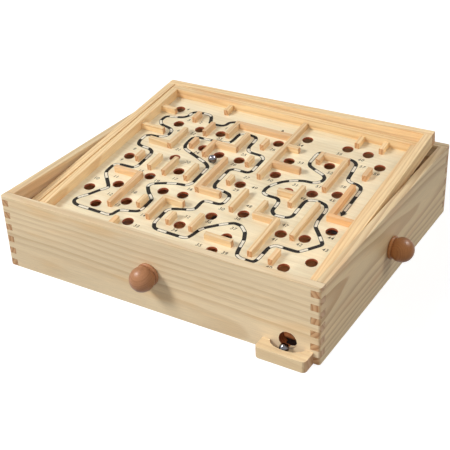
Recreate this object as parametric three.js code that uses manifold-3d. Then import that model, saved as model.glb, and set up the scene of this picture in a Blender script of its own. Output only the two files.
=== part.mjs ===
// A tilting labyrinth game in wood.
// A case with finger-jointed corners holds an outer frame on two pivot pins. The outer frame
// holds an inner frame on two more pins at right angles, and the inner frame carries the maze
// board. Two knobs turn steel shafts whose cords tilt the two frames. A ball that drops through
// a hole of the board rolls down a sloping board inside the case and out to a catch tray.
// Millimetres. X runs along the front wall, Y to the back, Z up. The origin is under the middle.

import * as THREE from 'three';
import { mergeVertices } from 'three/addons/utils/BufferGeometryUtils.js';
import Module from 'manifold-3d';

const wasm = await Module();
wasm.setup();

// Case
const CASE_LENGTH = 345;
const CASE_DEPTH = 300;
const CASE_HEIGHT = 78;
const WALL = 9;
const EDGE_RADIUS = 2.5;
const TOP_FINGER = 3.7;
const FINGER_PITCH = 6.7;
const BASE_THICKNESS = 3;
const BASE_RABBET = 4;

// Way of a fallen ball: sloping board, hole in the front wall, tray
const EXIT_RADIUS = 8.75;
const EXIT_INSET = 30.5;
const EXIT_HEIGHT = 15.7;
const RAMP_THICKNESS = 3;
const RAMP_GROOVE = 3;
const RAMP_EXIT_HEIGHT = 8;
const RAMP_FALL_SHARE = 0.02;
const TRAY_WIDTH = 49;
const TRAY_HEIGHT = 11.5;
const TRAY_FLOOR = 4.8;
const TRAY_CORNER = 4;
const TRAY_LIP = 7.2;
const SCOOP_WIDTH = 33;
const BALL_DIAMETER = 9;
const TRAY_BALL_SETBACK = 4;
const TRAY_BALL_SHIFT = 1.5;

// Both tilting axes cross this far under the top of the case, over its middle
const AXIS_DROP = 8;
const FRAME_TILT = THREE.MathUtils.degToRad(7.48);
const BOARD_TILT = THREE.MathUtils.degToRad(2);

// Outer frame: heights are measured from the axes
const OUTER_GAP = 3;
const OUTER_RAIL = 8.5;
const OUTER_TOP = 8.5;
const OUTER_HEIGHT = 14;

// Inner frame and the maze board let into it
const INNER_GAP_X = 2.5;
const INNER_GAP_Y = 2;
const INNER_RAIL = 7.5;
const INNER_TOP = 3.9;
const BOARD_DROP = 10.6;
const BOARD_THICKNESS = 2.5;
const BOARD_RABBET = 3;
const HOLE_DIAMETER = 11.5;
const MAZE_WALL = 5;
const MAZE_HEIGHT = 7;
const STUB_ROOT = 2;

// Pivot pins
const PIN_RADIUS = 1.5;
const PIN_SEAT = 5.5;
const PIN_REACH = 5.5;
const PIN_CLEARANCE = 0.35;

// Control shafts with their knobs and stop collars; the drops are measured from the axes
const FRONT_SHAFT_DROP = 29.5;
const RIGHT_SHAFT_DROP = 34;
const SHAFT_RADIUS = 2;
const SHAFT_SOCKET = 6;
const SHAFT_CLEARANCE = 0.35;
const SHAFT_END_PLAY = 0.5;
const COLLAR_RADIUS = 5;
const COLLAR_LENGTH = 4;
const KNOB_GAP = 0.4;
const KNOB_BALL_RADIUS = 12;
const KNOB_BALL_CENTRE = 10.3;
const KNOB_BORE_DEPTH = 14;
const FLANGE_RADIUS = 11.5;
const FLANGE_THICKNESS = 3.5;
const FLANGE_EASE = 0.8;
const GROOVE_RADIUS = 9.6;
const GROOVE_WIDTH = 1;

// Tilting cords, their pegs and tension springs
const CORD_RADIUS = 0.5;
const CORD_CLEARANCE = 0.3;
const CORD_PITCH = 1.6;
const CORD_TURNS = 2;
const PEG_RADIUS = 1.6;
const PEG_LENGTH = 5;
const PEG_HOLD = 2.5;
const FRAME_PEG_SETBACK = 13;
const BOARD_PEG_OFFSET = 12;
const SPRING_WIRE_RADIUS = 0.3;
const SPRING_RADIUS = 1.7;
const SPRING_PITCH = 1.3;
const SPRING_TURNS = 7;

// Gaps: between glued faces, between seated pieces, and what a cut runs past a face
const GLUE_GAP = 0.1;
const SEAT_GAP = 0.3;
const OVERRUN = 1;

// Facets of round forms: those of edges are for an eighth of a turn, those of holes for a half
const EDGE_FACETS = 2;
const HOLE_FACETS = 9;
const PIN_FACETS = 16;
const SHAFT_FACETS = 20;
const EXIT_FACETS = 32;
const SCOOP_FACETS = 64;
const KNOB_FACETS = 28;
const KNOB_ARC_STEPS = 11;
const BALL_FACETS = 18;
const CORD_SIDES = 8;
const CORD_STEPS_PER_TURN = 12;
const SPRING_SIDES = 5;
const SPRING_STEPS_PER_TURN = 8;

// Sizes that follow from these
const OUTSIDE_X = CASE_LENGTH / 2;
const OUTSIDE_Y = CASE_DEPTH / 2;
const INSIDE_X = OUTSIDE_X - WALL;
const INSIDE_Y = OUTSIDE_Y - WALL;
const EXIT_X = OUTSIDE_X - EXIT_INSET;
const BALL_RADIUS = BALL_DIAMETER / 2;
const SCOOP_DEPTH = TRAY_BALL_SETBACK + BALL_RADIUS + SEAT_GAP;
const TRAY_DEPTH = SCOOP_DEPTH + TRAY_LIP;
const AXIS_HEIGHT = CASE_HEIGHT - AXIS_DROP;
const FRONT_SHAFT_HEIGHT = AXIS_HEIGHT - FRONT_SHAFT_DROP;
const RIGHT_SHAFT_HEIGHT = AXIS_HEIGHT - RIGHT_SHAFT_DROP;
const OUTER_X = INSIDE_X - OUTER_GAP;
const OUTER_Y = INSIDE_Y - OUTER_GAP;
const OUTER_OPEN_X = OUTER_X - OUTER_RAIL;
const OUTER_OPEN_Y = OUTER_Y - OUTER_RAIL;
const OUTER_BOTTOM = OUTER_TOP - OUTER_HEIGHT;
const INNER_X = OUTER_OPEN_X - INNER_GAP_X;
const INNER_Y = OUTER_OPEN_Y - INNER_GAP_Y;
const PLAY_X = INNER_X - INNER_RAIL;
const PLAY_Y = INNER_Y - INNER_RAIL;
const BOARD_TOP = INNER_TOP - BOARD_DROP;
const BOARD_BOTTOM = BOARD_TOP - BOARD_THICKNESS;
const FRAME_PEG_Y = OUTER_Y - FRAME_PEG_SETBACK;
const WINDING_RADIUS = SHAFT_RADIUS + CORD_RADIUS + CORD_CLEARANCE;
const WINDING_WIDTH = CORD_PITCH * CORD_TURNS;
const SPRING_TAIL = 4 * SPRING_WIRE_RADIUS;
const SPRING_LENGTH = SPRING_PITCH * (SPRING_TURNS + 1) + 2 * SPRING_TAIL;

// Holes of the maze board: places as shares of the half length and half depth of the play area
const HOLE_SHARES = [
  [-0.884, 0.817], [-0.775, 0.592], [-0.577, 0.588], [-0.398, 0.6], [-0.419, 0.338],
  [-0.264, 0.3], [-0.092, 0.3], [0.243, 0.829], [0.567, 0.838], [0.732, 0.829],
  [0.873, 0.688], [0.067, 0.671], [0.246, 0.467], [0.539, 0.542], [0.236, 0.237],
  [0.739, 0.196], [0.577, 0.121], [0.067, -0.008], [-0.875, -0.037], [-0.423, -0.058],
  [-0.583, -0.222], [-0.394, -0.358], [-0.239, -0.338], [-0.739, -0.433], [-0.912, -0.567],
  [-0.563, -0.608], [-0.75, -0.738], [-0.419, -0.829], [-0.074, -0.692], [0.257, -0.35],
  [0.07, -0.483], [0.278, -0.667], [0.261, -0.858], [0.588, -0.45], [0.754, -0.425],
  [0.88, -0.258], [0.901, -0.658], [0.764, -0.8], [0.408, 0.072], [-0.546, 0.104],
];

// Maze walls that grow out of a rail: centre lines from x, y to x, y in the same shares
const LEFT_STUB_SHARES = [[-1, 0.733, -0.873, 0.733], [-1, 0.4, -0.803, 0.4]];
const BACK_STUB_SHARES = [
  [-0.496, 0.892, -0.496, 1], [0.623, 0.875, 0.623, 1], [0.813, 0.875, 0.813, 1],
];
const FRONT_STUB_SHARES = [[-0.482, -1, -0.482, -0.858]];
const RIGHT_STUB_SHARES = [[0.817, -0.138, 1, -0.138], [0.817, -0.138, 0.817, 0.308]];

// Maze walls that stand on the board: each row is one glued-up piece of straight stretches
const MAZE_SHARES = [
  [[-0.673, 0.667, -0.673, 0.783]],
  [[-0.496, 0.508, -0.496, 0.675]],
  [[-0.651, 0.229, -0.651, 0.5], [-0.838, 0.229, -0.651, 0.229]],
  [[-0.5, 0.283, -0.5, 0.4]],
  [[-0.352, 0.217, -0.352, 0.404], [-0.352, 0.404, -0.173, 0.404],
    [-0.173, 0.404, -0.173, 0.642]],
  [[-0.32, 0.558, -0.32, 0.762], [-0.32, 0.762, 0.158, 0.762], [0.158, 0.117, 0.158, 0.996],
    [0.158, 0.613, 0.268, 0.613], [0.158, 0.338, 0.394, 0.338]],
  [[0.004, 0.233, 0.004, 0.342]],
  [[-0.004, 0.517, -0.004, 0.633]],
  [[-0.004, -0.067, -0.004, 0.025]],
  [[0.454, 0.517, 0.454, 0.621], [0.454, 0.621, 0.644, 0.621], [0.644, 0.175, 0.644, 0.621]],
  [[0.838, 0.458, 0.838, 0.592]],
  [[0.687, -0.492, 0.687, -0.025]],
  [[0.518, -0.8, 0.518, -0.358], [0.356, -0.358, 0.518, -0.358],
    [0.356, -0.358, 0.356, -0.175]],
  [[0.169, -0.375, 0.169, -0.1]],
  [[0.511, -0.125, 0.511, 0.133], [0.366, 0.002, 0.511, 0.002]],
  [[-0.634, -0.733, -0.634, -0.279], [-0.852, -0.279, -0.634, -0.279]],
  [[-0.778, -0.083, -0.778, 0.025]],
  [[-0.63, -0.15, -0.63, 0.042]],
  [[-0.496, -0.167, -0.496, 0.058]],
  [[-0.313, -0.158, -0.313, 0.042]],
  [[-0.165, -0.237, -0.165, 0.233], [-0.165, -0.237, 0.021, -0.237]],
  [[-0.306, -0.471, -0.155, -0.471], [-0.306, -0.742, -0.306, -0.471]],
  [[-0.44, -0.642, -0.44, -0.517]],
  [[-0.148, -0.733, -0.148, -0.617]],
  [[0.035, -0.733, 0.035, -0.542]],
  [[0.158, -0.746, 0.366, -0.746]],
  [[0.676, -0.817, 0.676, -0.675]],
];
const BOARD_BALL_SHARES = [-0.252, 0.172];

const QUARTER_TURN = Math.PI / 2;
const FULL_TURN = 2 * Math.PI;

// Materials

function finish(color, roughness, metalness) {
  return new THREE.MeshStandardMaterial({ color, roughness, metalness });
}

const MATERIALS = {
  case_wood: finish(0xd9b384, 0.6, 0),
  frame_wood: finish(0xe2bb8b, 0.6, 0),
  board_wood: finish(0xedd6b0, 0.65, 0),
  maze_wood: finish(0xe6c596, 0.6, 0),
  base_wood: finish(0xcfa878, 0.75, 0),
  knob_wood: finish(0xa86e4a, 0.35, 0),
  steel: finish(0xc9ccd0, 0.3, 1),
  ball_steel: finish(0xdfe2e6, 0.1, 1),
  cord: finish(0xe9e4d8, 0.85, 0),
};

// Solids

function toSolid(geometry) {
  const bare = geometry.clone();
  bare.deleteAttribute('normal');
  bare.deleteAttribute('uv');
  const merged = mergeVertices(bare);
  const corners = merged.index.array;
  const kept = [];
  for (let i = 0; i < corners.length; i += 3) {
    const [a, b, c] = [corners[i], corners[i + 1], corners[i + 2]];
    if (a !== b && b !== c && c !== a) kept.push(a, b, c);
  }
  return new wasm.Manifold(new wasm.Mesh({
    numProp: 3,
    vertProperties: new Float32Array(merged.attributes.position.array),
    triVerts: new Uint32Array(kept),
  }));
}

function toGeometry(solid) {
  const mesh = solid.getMesh();
  const geometry = new THREE.BufferGeometry();
  geometry.setAttribute('position', new THREE.BufferAttribute(mesh.vertProperties, 3));
  geometry.setIndex(new THREE.BufferAttribute(mesh.triVerts, 1));
  geometry.computeVertexNormals();
  return geometry;
}

function joined(solids) {
  return solids.reduce((whole, next) => whole.add(next));
}

function block(xs, ys, zs) {
  const [x0, x1] = xs;
  const [y0, y1] = ys;
  const [z0, z1] = zs;
  const geometry = new THREE.BoxGeometry(x1 - x0, y1 - y0, z1 - z0);
  geometry.translate((x0 + x1) / 2, (y0 + y1) / 2, (z0 + z1) / 2);
  return toSolid(geometry);
}

// A round bar along one axis, from one place on that axis to another
function bar(axis, radius, from, to, centre, facets) {
  const geometry = new THREE.CylinderGeometry(radius, radius, Math.abs(to - from), facets);
  if (axis === 'x') geometry.rotateZ(-QUARTER_TURN);
  if (axis === 'z') geometry.rotateX(QUARTER_TURN);
  const middle = new THREE.Vector3(...centre);
  middle[axis] = (from + to) / 2;
  geometry.translate(middle.x, middle.y, middle.z);
  return toSolid(geometry);
}

function plate(shape, thickness, facets) {
  return new THREE.ExtrudeGeometry(shape, {
    depth: thickness,
    bevelEnabled: false,
    curveSegments: facets,
  });
}

function addMesh(parent, name, geometry, material) {
  const mesh = new THREE.Mesh(geometry, material);
  mesh.name = name;
  parent.add(mesh);
  return mesh;
}

// Case walls

// Heights of the finger joints from the top edge down to the foot
function fingerHeights() {
  const heights = [CASE_HEIGHT];
  let height = CASE_HEIGHT - TOP_FINGER;
  while (height > FINGER_PITCH) {
    heights.push(height);
    height -= FINGER_PITCH;
  }
  heights.push(0);
  return heights;
}

// Outline of a wall: fingers reach the outside of the case, the rest stops at the inside
function wallOutline(insideHalf, outsideHalf, ownsTop) {
  const heights = fingerHeights();
  const isFinger = (index) => (index % 2 === 0) === ownsTop;
  const right = [];
  for (let index = heights.length - 2; index >= 0; index -= 1) {
    const reach = isFinger(index) ? outsideHalf : insideHalf - GLUE_GAP;
    const trim = isFinger(index) ? GLUE_GAP / 2 : -GLUE_GAP / 2;
    const low = heights[index + 1];
    const high = heights[index];
    right.push([reach, low === 0 ? 0 : low + trim]);
    right.push([reach, high === CASE_HEIGHT ? high : high - trim]);
  }
  const left = right.map(([x, z]) => [-x, z]).reverse();
  return new THREE.Shape([...right, ...left].map(([x, z]) => new THREE.Vector2(x, z)));
}

function roundedFootprint() {
  const x = OUTSIDE_X - EDGE_RADIUS;
  const y = OUTSIDE_Y - EDGE_RADIUS;
  const shape = new THREE.Shape();
  shape.absarc(x, y, EDGE_RADIUS, 0, QUARTER_TURN);
  shape.absarc(-x, y, EDGE_RADIUS, QUARTER_TURN, 2 * QUARTER_TURN);
  shape.absarc(-x, -y, EDGE_RADIUS, 2 * QUARTER_TURN, 3 * QUARTER_TURN);
  shape.absarc(x, -y, EDGE_RADIUS, 3 * QUARTER_TURN, FULL_TURN);
  return toSolid(plate(shape, CASE_HEIGHT, EDGE_FACETS));
}

// A wall along X, standing up, with its outer face at y = faceY
function longWall(faceY) {
  const geometry = plate(wallOutline(INSIDE_X, OUTSIDE_X, true), WALL);
  geometry.rotateX(QUARTER_TURN);
  geometry.translate(0, faceY > 0 ? faceY : faceY + WALL, 0);
  return toSolid(geometry);
}

// A wall along Y with its outer face at x = faceX
function shortWall(faceX) {
  const geometry = plate(wallOutline(INSIDE_Y, OUTSIDE_Y, false), WALL);
  geometry.rotateX(QUARTER_TURN);
  geometry.rotateZ(QUARTER_TURN);
  geometry.translate(faceX > 0 ? faceX - WALL : faceX, 0, 0);
  return toSolid(geometry);
}

// Height of the sloping board's upper face: it falls to the right and to the front
function rampHeight(x, y) {
  return RAMP_EXIT_HEIGHT + RAMP_FALL_SHARE * (EXIT_X - x + y + INSIDE_Y);
}

function slopedPlate(reach, spare) {
  const halfX = INSIDE_X + reach;
  const halfY = INSIDE_Y + reach;
  const geometry = new THREE.BoxGeometry(2 * halfX, 2 * halfY, RAMP_THICKNESS + 2 * spare);
  const place = geometry.attributes.position;
  for (let i = 0; i < place.count; i += 1) {
    const middle = rampHeight(place.getX(i), place.getY(i)) - RAMP_THICKNESS / 2;
    place.setZ(i, place.getZ(i) + middle);
  }
  return toSolid(geometry);
}

function baseRecess() {
  const reach = BASE_RABBET + GLUE_GAP;
  return block(
    [-INSIDE_X - reach, INSIDE_X + reach],
    [-INSIDE_Y - reach, INSIDE_Y + reach],
    [-OVERRUN, BASE_THICKNESS + SEAT_GAP],
  );
}

function exitBore(spare) {
  const centre = [EXIT_X, 0, EXIT_HEIGHT];
  const from = -OUTSIDE_Y - OVERRUN;
  return bar('y', EXIT_RADIUS + spare, from, -INSIDE_Y + OVERRUN, centre, EXIT_FACETS);
}

// Holes for a control shaft that runs from its knob to a socket in the far wall
function shaftHoles(axis, side, outside, inside, height) {
  const radius = SHAFT_RADIUS + SHAFT_CLEARANCE;
  const centre = [0, 0, height];
  return {
    near: bar(axis, radius, side * (inside - OVERRUN), side * (outside + OVERRUN), centre,
      SHAFT_FACETS),
    far: bar(axis, radius, -side * (inside - OVERRUN), -side * (inside + SHAFT_SOCKET), centre,
      SHAFT_FACETS),
  };
}

function pinHole(axis, side, from, to, height) {
  const radius = PIN_RADIUS + PIN_CLEARANCE;
  return bar(axis, radius, side * from, side * to, [0, 0, height], PIN_FACETS);
}

function caseWalls() {
  const groove = slopedPlate(RAMP_GROOVE + SEAT_GAP, SEAT_GAP);
  const shell = roundedFootprint();
  const common = (wall) => wall.intersect(shell).subtract(baseRecess()).subtract(groove);
  const front = shaftHoles('y', -1, OUTSIDE_Y, INSIDE_Y, FRONT_SHAFT_HEIGHT);
  const right = shaftHoles('x', 1, OUTSIDE_X, INSIDE_X, RIGHT_SHAFT_HEIGHT);
  const deep = INSIDE_X + PIN_SEAT + PIN_CLEARANCE;
  const pin = (side) => pinHole('x', side, INSIDE_X - OVERRUN, deep, AXIS_HEIGHT);
  return {
    front_wall: common(longWall(-OUTSIDE_Y)).subtract(front.near).subtract(exitBore(0)),
    back_wall: common(longWall(OUTSIDE_Y)).subtract(front.far),
    left_wall: common(shortWall(-OUTSIDE_X)).subtract(right.far).subtract(pin(-1)),
    right_wall: common(shortWall(OUTSIDE_X)).subtract(right.near).subtract(pin(1)),
  };
}

function basePanel() {
  const halfX = INSIDE_X + BASE_RABBET;
  const halfY = INSIDE_Y + BASE_RABBET;
  return block([-halfX, halfX], [-halfY, halfY], [0, BASE_THICKNESS]);
}

function returnRamp() {
  return slopedPlate(RAMP_GROOVE, 0).subtract(exitBore(SEAT_GAP));
}

// Catch tray: a block with rounded front corners and, under the exit hole, a scoop whose outline
// is half an ellipse
function catchTray() {
  const half = TRAY_WIDTH / 2;
  const back = -OUTSIDE_Y - GLUE_GAP;
  const front = -OUTSIDE_Y - TRAY_DEPTH;
  const shape = new THREE.Shape();
  shape.moveTo(EXIT_X + half, back);
  shape.lineTo(EXIT_X - half, back);
  shape.absarc(EXIT_X - half + TRAY_CORNER, front + TRAY_CORNER, TRAY_CORNER,
    2 * QUARTER_TURN, 3 * QUARTER_TURN);
  shape.absarc(EXIT_X + half - TRAY_CORNER, front + TRAY_CORNER, TRAY_CORNER,
    3 * QUARTER_TURN, FULL_TURN);
  const round = bar('z', SCOOP_WIDTH / 2, TRAY_FLOOR, TRAY_HEIGHT + OVERRUN, [0, 0, 0],
    SCOOP_FACETS);
  const flattened = round.scale([1, SCOOP_DEPTH / (SCOOP_WIDTH / 2), 1]);
  const scoop = flattened.translate([EXIT_X, -OUTSIDE_Y, 0]);
  return toSolid(plate(shape, TRAY_HEIGHT, EDGE_FACETS)).subtract(scoop);
}

function pivotPin(axis, side, from, to, height) {
  return bar(axis, PIN_RADIUS, side * from, side * to, [0, 0, height], PIN_FACETS);
}

function buildCase(parent) {
  const group = new THREE.Group();
  parent.add(group);
  for (const [name, wall] of Object.entries(caseWalls())) {
    addMesh(group, name, toGeometry(wall), MATERIALS.case_wood);
  }
  addMesh(group, 'base_panel', toGeometry(basePanel()), MATERIALS.base_wood);
  addMesh(group, 'return_ramp', toGeometry(returnRamp()), MATERIALS.base_wood);
  addMesh(group, 'catch_tray', toGeometry(catchTray()), MATERIALS.case_wood);
  for (const [name, side] of [['left_pivot_pin', -1], ['right_pivot_pin', 1]]) {
    const pin = pivotPin('x', side, OUTER_X - PIN_REACH, INSIDE_X + PIN_SEAT, AXIS_HEIGHT);
    addMesh(group, name, toGeometry(pin), MATERIALS.steel);
  }
}

// Frames

// Four rails: the front and back ones run the full length, the side ones butt between them
function frameRails(outerX, outerY, rail, bottom, top) {
  const openX = outerX - rail;
  const openY = outerY - rail;
  const between = [-openY + GLUE_GAP, openY - GLUE_GAP];
  const heights = [bottom, top];
  return {
    front: block([-outerX, outerX], [-outerY, -openY], heights),
    back: block([-outerX, outerX], [openY, outerY], heights),
    left: block([-outerX, -openX], between, heights),
    right: block([openX, outerX], between, heights),
  };
}

function cordPeg(x, y, bottom) {
  return bar('z', PEG_RADIUS, bottom + OVERRUN, bottom - PEG_LENGTH, [x, y, 0], PIN_FACETS);
}

// Where the two cord pegs of a frame stand: the cord's width on its shaft parts them
function framePegPlaces() {
  const x = OUTER_X - OUTER_RAIL / 2;
  return {
    right: [x - WINDING_WIDTH / 2, FRAME_PEG_Y],
    left: [x + WINDING_WIDTH / 2, -FRAME_PEG_Y],
  };
}

function boardPegPlaces() {
  const x = INNER_X - INNER_RAIL / 2;
  return {
    right: [x, -BOARD_PEG_OFFSET - WINDING_WIDTH / 2],
    left: [-x, -BOARD_PEG_OFFSET + WINDING_WIDTH / 2],
  };
}

function buildOuterFrame(parent) {
  const group = new THREE.Group();
  group.position.z = AXIS_HEIGHT;
  group.rotation.x = FRAME_TILT;
  parent.add(group);
  const rails = frameRails(OUTER_X, OUTER_Y, OUTER_RAIL, OUTER_BOTTOM, OUTER_TOP);
  const sideHole = (side) => pinHole('x', side, OUTER_X - PIN_REACH - PIN_CLEARANCE,
    OUTER_X + OVERRUN, 0);
  const endHole = (side) => pinHole('y', side, OUTER_OPEN_Y - OVERRUN,
    OUTER_OPEN_Y + PIN_SEAT + PIN_CLEARANCE, 0);
  const pegs = Object.values(framePegPlaces()).map(([x, y]) => cordPeg(x, y, OUTER_BOTTOM));
  rails.front = rails.front.subtract(endHole(-1));
  rails.back = rails.back.subtract(endHole(1));
  rails.left = rails.left.subtract(sideHole(-1));
  rails.right = joined([rails.right, ...pegs]).subtract(sideHole(1));
  for (const [side, rail] of Object.entries(rails)) {
    addMesh(group, `outer_frame_${side}_rail`, toGeometry(rail), MATERIALS.frame_wood);
  }
  for (const [name, side] of [['front_pivot_pin', -1], ['back_pivot_pin', 1]]) {
    const pin = pivotPin('y', side, INNER_Y - PIN_REACH, OUTER_OPEN_Y + PIN_SEAT, 0);
    addMesh(group, name, toGeometry(pin), MATERIALS.steel);
  }
  return group;
}

// Maze

// A stretch of maze wall. Where it meets the end of another stretch it fills the corner.
function mazeStretch(stretch, row) {
  const [x0, y0, x1, y1] = stretch;
  const ends = row.filter((other) => other !== stretch)
    .flatMap(([a, b, c, d]) => [[a, b], [c, d]]);
  const isCorner = (x, y) => ends.some(([a, b]) => a === x && b === y);
  const half = MAZE_WALL / 2;
  const startCorner = isCorner(x0, y0) ? half : 0;
  const endCorner = isCorner(x1, y1) ? half : 0;
  const alongX = y0 === y1;
  const xs = [x0 * PLAY_X - (alongX ? startCorner : half), x1 * PLAY_X + (alongX ? endCorner : half)];
  const ys = [y0 * PLAY_Y - (alongX ? half : startCorner), y1 * PLAY_Y + (alongX ? half : endCorner)];
  return block(xs, ys, [BOARD_TOP + SEAT_GAP, BOARD_TOP + MAZE_HEIGHT]);
}

function mazePiece(row) {
  return joined(row.map((stretch) => mazeStretch(stretch, row)));
}

// Maze walls of a rail, rooted in the rail where they touch it
function railStubs(row) {
  const half = MAZE_WALL / 2;
  const heights = [BOARD_TOP + SEAT_GAP, BOARD_TOP + MAZE_HEIGHT];
  return row.map((stretch) => {
    const wall = mazeStretch(stretch, row);
    const [x0, y0, x1, y1] = stretch;
    const acrossX = [x0 * PLAY_X - half, x0 * PLAY_X + half];
    const acrossY = [y0 * PLAY_Y - half, y0 * PLAY_Y + half];
    const roots = [
      [x0 === -1, [-PLAY_X - STUB_ROOT, -PLAY_X], acrossY],
      [x1 === 1, [PLAY_X, PLAY_X + STUB_ROOT], acrossY],
      [y0 === -1, acrossX, [-PLAY_Y - STUB_ROOT, -PLAY_Y]],
      [y1 === 1, acrossX, [PLAY_Y, PLAY_Y + STUB_ROOT]],
    ];
    const root = roots.find(([touches]) => touches);
    return root ? wall.add(block(root[1], root[2], heights)) : wall;
  });
}

function playBoard() {
  const halfX = PLAY_X + BOARD_RABBET;
  const halfY = PLAY_Y + BOARD_RABBET;
  const shape = new THREE.Shape();
  shape.moveTo(-halfX, -halfY);
  shape.lineTo(halfX, -halfY);
  shape.lineTo(halfX, halfY);
  shape.lineTo(-halfX, halfY);
  for (const [shareX, shareY] of HOLE_SHARES) {
    const hole = new THREE.Path();
    hole.absarc(shareX * PLAY_X, shareY * PLAY_Y, HOLE_DIAMETER / 2, 0, FULL_TURN, true);
    shape.holes.push(hole);
  }
  const geometry = plate(shape, BOARD_THICKNESS, HOLE_FACETS);
  geometry.translate(0, 0, BOARD_BOTTOM);
  return geometry;
}

function boardRecess() {
  const reach = BOARD_RABBET + SEAT_GAP;
  return block(
    [-PLAY_X - reach, PLAY_X + reach],
    [-PLAY_Y - reach, PLAY_Y + reach],
    [BOARD_BOTTOM - OVERRUN, BOARD_TOP + SEAT_GAP],
  );
}

function buildInnerFrame(parent) {
  const group = new THREE.Group();
  group.rotation.y = BOARD_TILT;
  parent.add(group);
  const rails = frameRails(INNER_X, INNER_Y, INNER_RAIL, BOARD_BOTTOM, INNER_TOP);
  const recess = boardRecess();
  const hole = (side) => pinHole('y', side, INNER_Y - PIN_REACH - PIN_CLEARANCE,
    INNER_Y + OVERRUN, 0);
  const pegs = boardPegPlaces();
  const finished = {
    front: joined([rails.front, ...railStubs(FRONT_STUB_SHARES)]).subtract(hole(-1)),
    back: joined([rails.back, ...railStubs(BACK_STUB_SHARES)]).subtract(hole(1)),
    left: joined([rails.left, ...railStubs(LEFT_STUB_SHARES), cordPeg(...pegs.left, BOARD_BOTTOM)]),
    right: joined([rails.right, ...railStubs(RIGHT_STUB_SHARES),
      cordPeg(...pegs.right, BOARD_BOTTOM)]),
  };
  for (const [side, rail] of Object.entries(finished)) {
    const geometry = toGeometry(rail.subtract(recess));
    addMesh(group, `inner_frame_${side}_rail`, geometry, MATERIALS.frame_wood);
  }
  addMesh(group, 'play_board', playBoard(), MATERIALS.board_wood);
  MAZE_SHARES.forEach((row, index) => {
    const name = `maze_wall_${String(index + 1).padStart(2, '0')}`;
    addMesh(group, name, toGeometry(mazePiece(row)), MATERIALS.maze_wood);
  });
  return group;
}

// Balls

function ballGeometry() {
  return new THREE.SphereGeometry(BALL_RADIUS, BALL_FACETS, Math.ceil(BALL_FACETS / 2));
}

function buildBalls(parent, board) {
  const [shareX, shareY] = BOARD_BALL_SHARES;
  const onBoard = addMesh(board, 'board_ball', ballGeometry(), MATERIALS.ball_steel);
  onBoard.position.set(shareX * PLAY_X, shareY * PLAY_Y, BOARD_TOP + SEAT_GAP + BALL_RADIUS);
  const inTray = addMesh(parent, 'tray_ball', ballGeometry(), MATERIALS.ball_steel);
  inTray.position.set(EXIT_X - TRAY_BALL_SHIFT, -OUTSIDE_Y - TRAY_BALL_SETBACK,
    TRAY_FLOOR + SEAT_GAP + BALL_RADIUS);
}

// Knobs and shafts: built along Z, with the wall's outer face at zero and the knob above it

function knobGeometry() {
  const bore = SHAFT_RADIUS + GLUE_GAP;
  const ballFoot = FLANGE_THICKNESS + GROOVE_WIDTH;
  const profile = [
    [0, KNOB_BORE_DEPTH],
    [bore, KNOB_BORE_DEPTH],
    [bore, 0],
    [FLANGE_RADIUS - FLANGE_EASE, 0],
    [FLANGE_RADIUS, FLANGE_EASE],
    [FLANGE_RADIUS, FLANGE_THICKNESS - FLANGE_EASE],
    [FLANGE_RADIUS - FLANGE_EASE, FLANGE_THICKNESS],
    [GROOVE_RADIUS, FLANGE_THICKNESS],
    [GROOVE_RADIUS, ballFoot],
  ];
  const first = Math.asin((ballFoot - KNOB_BALL_CENTRE) / KNOB_BALL_RADIUS);
  for (let step = 0; step < KNOB_ARC_STEPS; step += 1) {
    const angle = first + ((QUARTER_TURN - first) * step) / KNOB_ARC_STEPS;
    profile.push([
      KNOB_BALL_RADIUS * Math.cos(angle),
      KNOB_BALL_CENTRE + KNOB_BALL_RADIUS * Math.sin(angle),
    ]);
  }
  profile.push([0, KNOB_BALL_CENTRE + KNOB_BALL_RADIUS]);
  const points = profile.map(([radius, height]) => new THREE.Vector2(radius, height));
  const geometry = new THREE.LatheGeometry(points, KNOB_FACETS);
  geometry.rotateX(QUARTER_TURN);
  geometry.translate(0, 0, KNOB_GAP);
  return geometry;
}

function shaftBar(span) {
  const inner = -(span - WALL + SHAFT_SOCKET - SHAFT_END_PLAY);
  const outer = KNOB_GAP + KNOB_BORE_DEPTH - GLUE_GAP;
  return bar('z', SHAFT_RADIUS, inner, outer, [0, 0, 0], SHAFT_FACETS);
}

function stopCollar() {
  const near = -WALL - SEAT_GAP;
  const far = near - COLLAR_LENGTH;
  const centre = [0, 0, 0];
  const bore = bar('z', SHAFT_RADIUS + GLUE_GAP, far - OVERRUN, near + OVERRUN, centre,
    SHAFT_FACETS);
  return bar('z', COLLAR_RADIUS, far, near, centre, SHAFT_FACETS).subtract(bore);
}

function buildControl(parent, side, span) {
  const group = new THREE.Group();
  parent.add(group);
  addMesh(group, `${side}_knob`, knobGeometry(), MATERIALS.knob_wood);
  addMesh(group, `${side}_shaft`, toGeometry(shaftBar(span)), MATERIALS.steel);
  addMesh(group, `${side}_collar`, toGeometry(stopCollar()), MATERIALS.steel);
  return group;
}

function buildControls(parent) {
  const front = buildControl(parent, 'front', CASE_DEPTH);
  front.position.set(0, -OUTSIDE_Y, FRONT_SHAFT_HEIGHT);
  front.rotation.x = QUARTER_TURN;
  const right = buildControl(parent, 'right', CASE_LENGTH);
  right.position.set(OUTSIDE_X, 0, RIGHT_SHAFT_HEIGHT);
  right.rotation.y = QUARTER_TURN;
}

// Cords and springs

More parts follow.
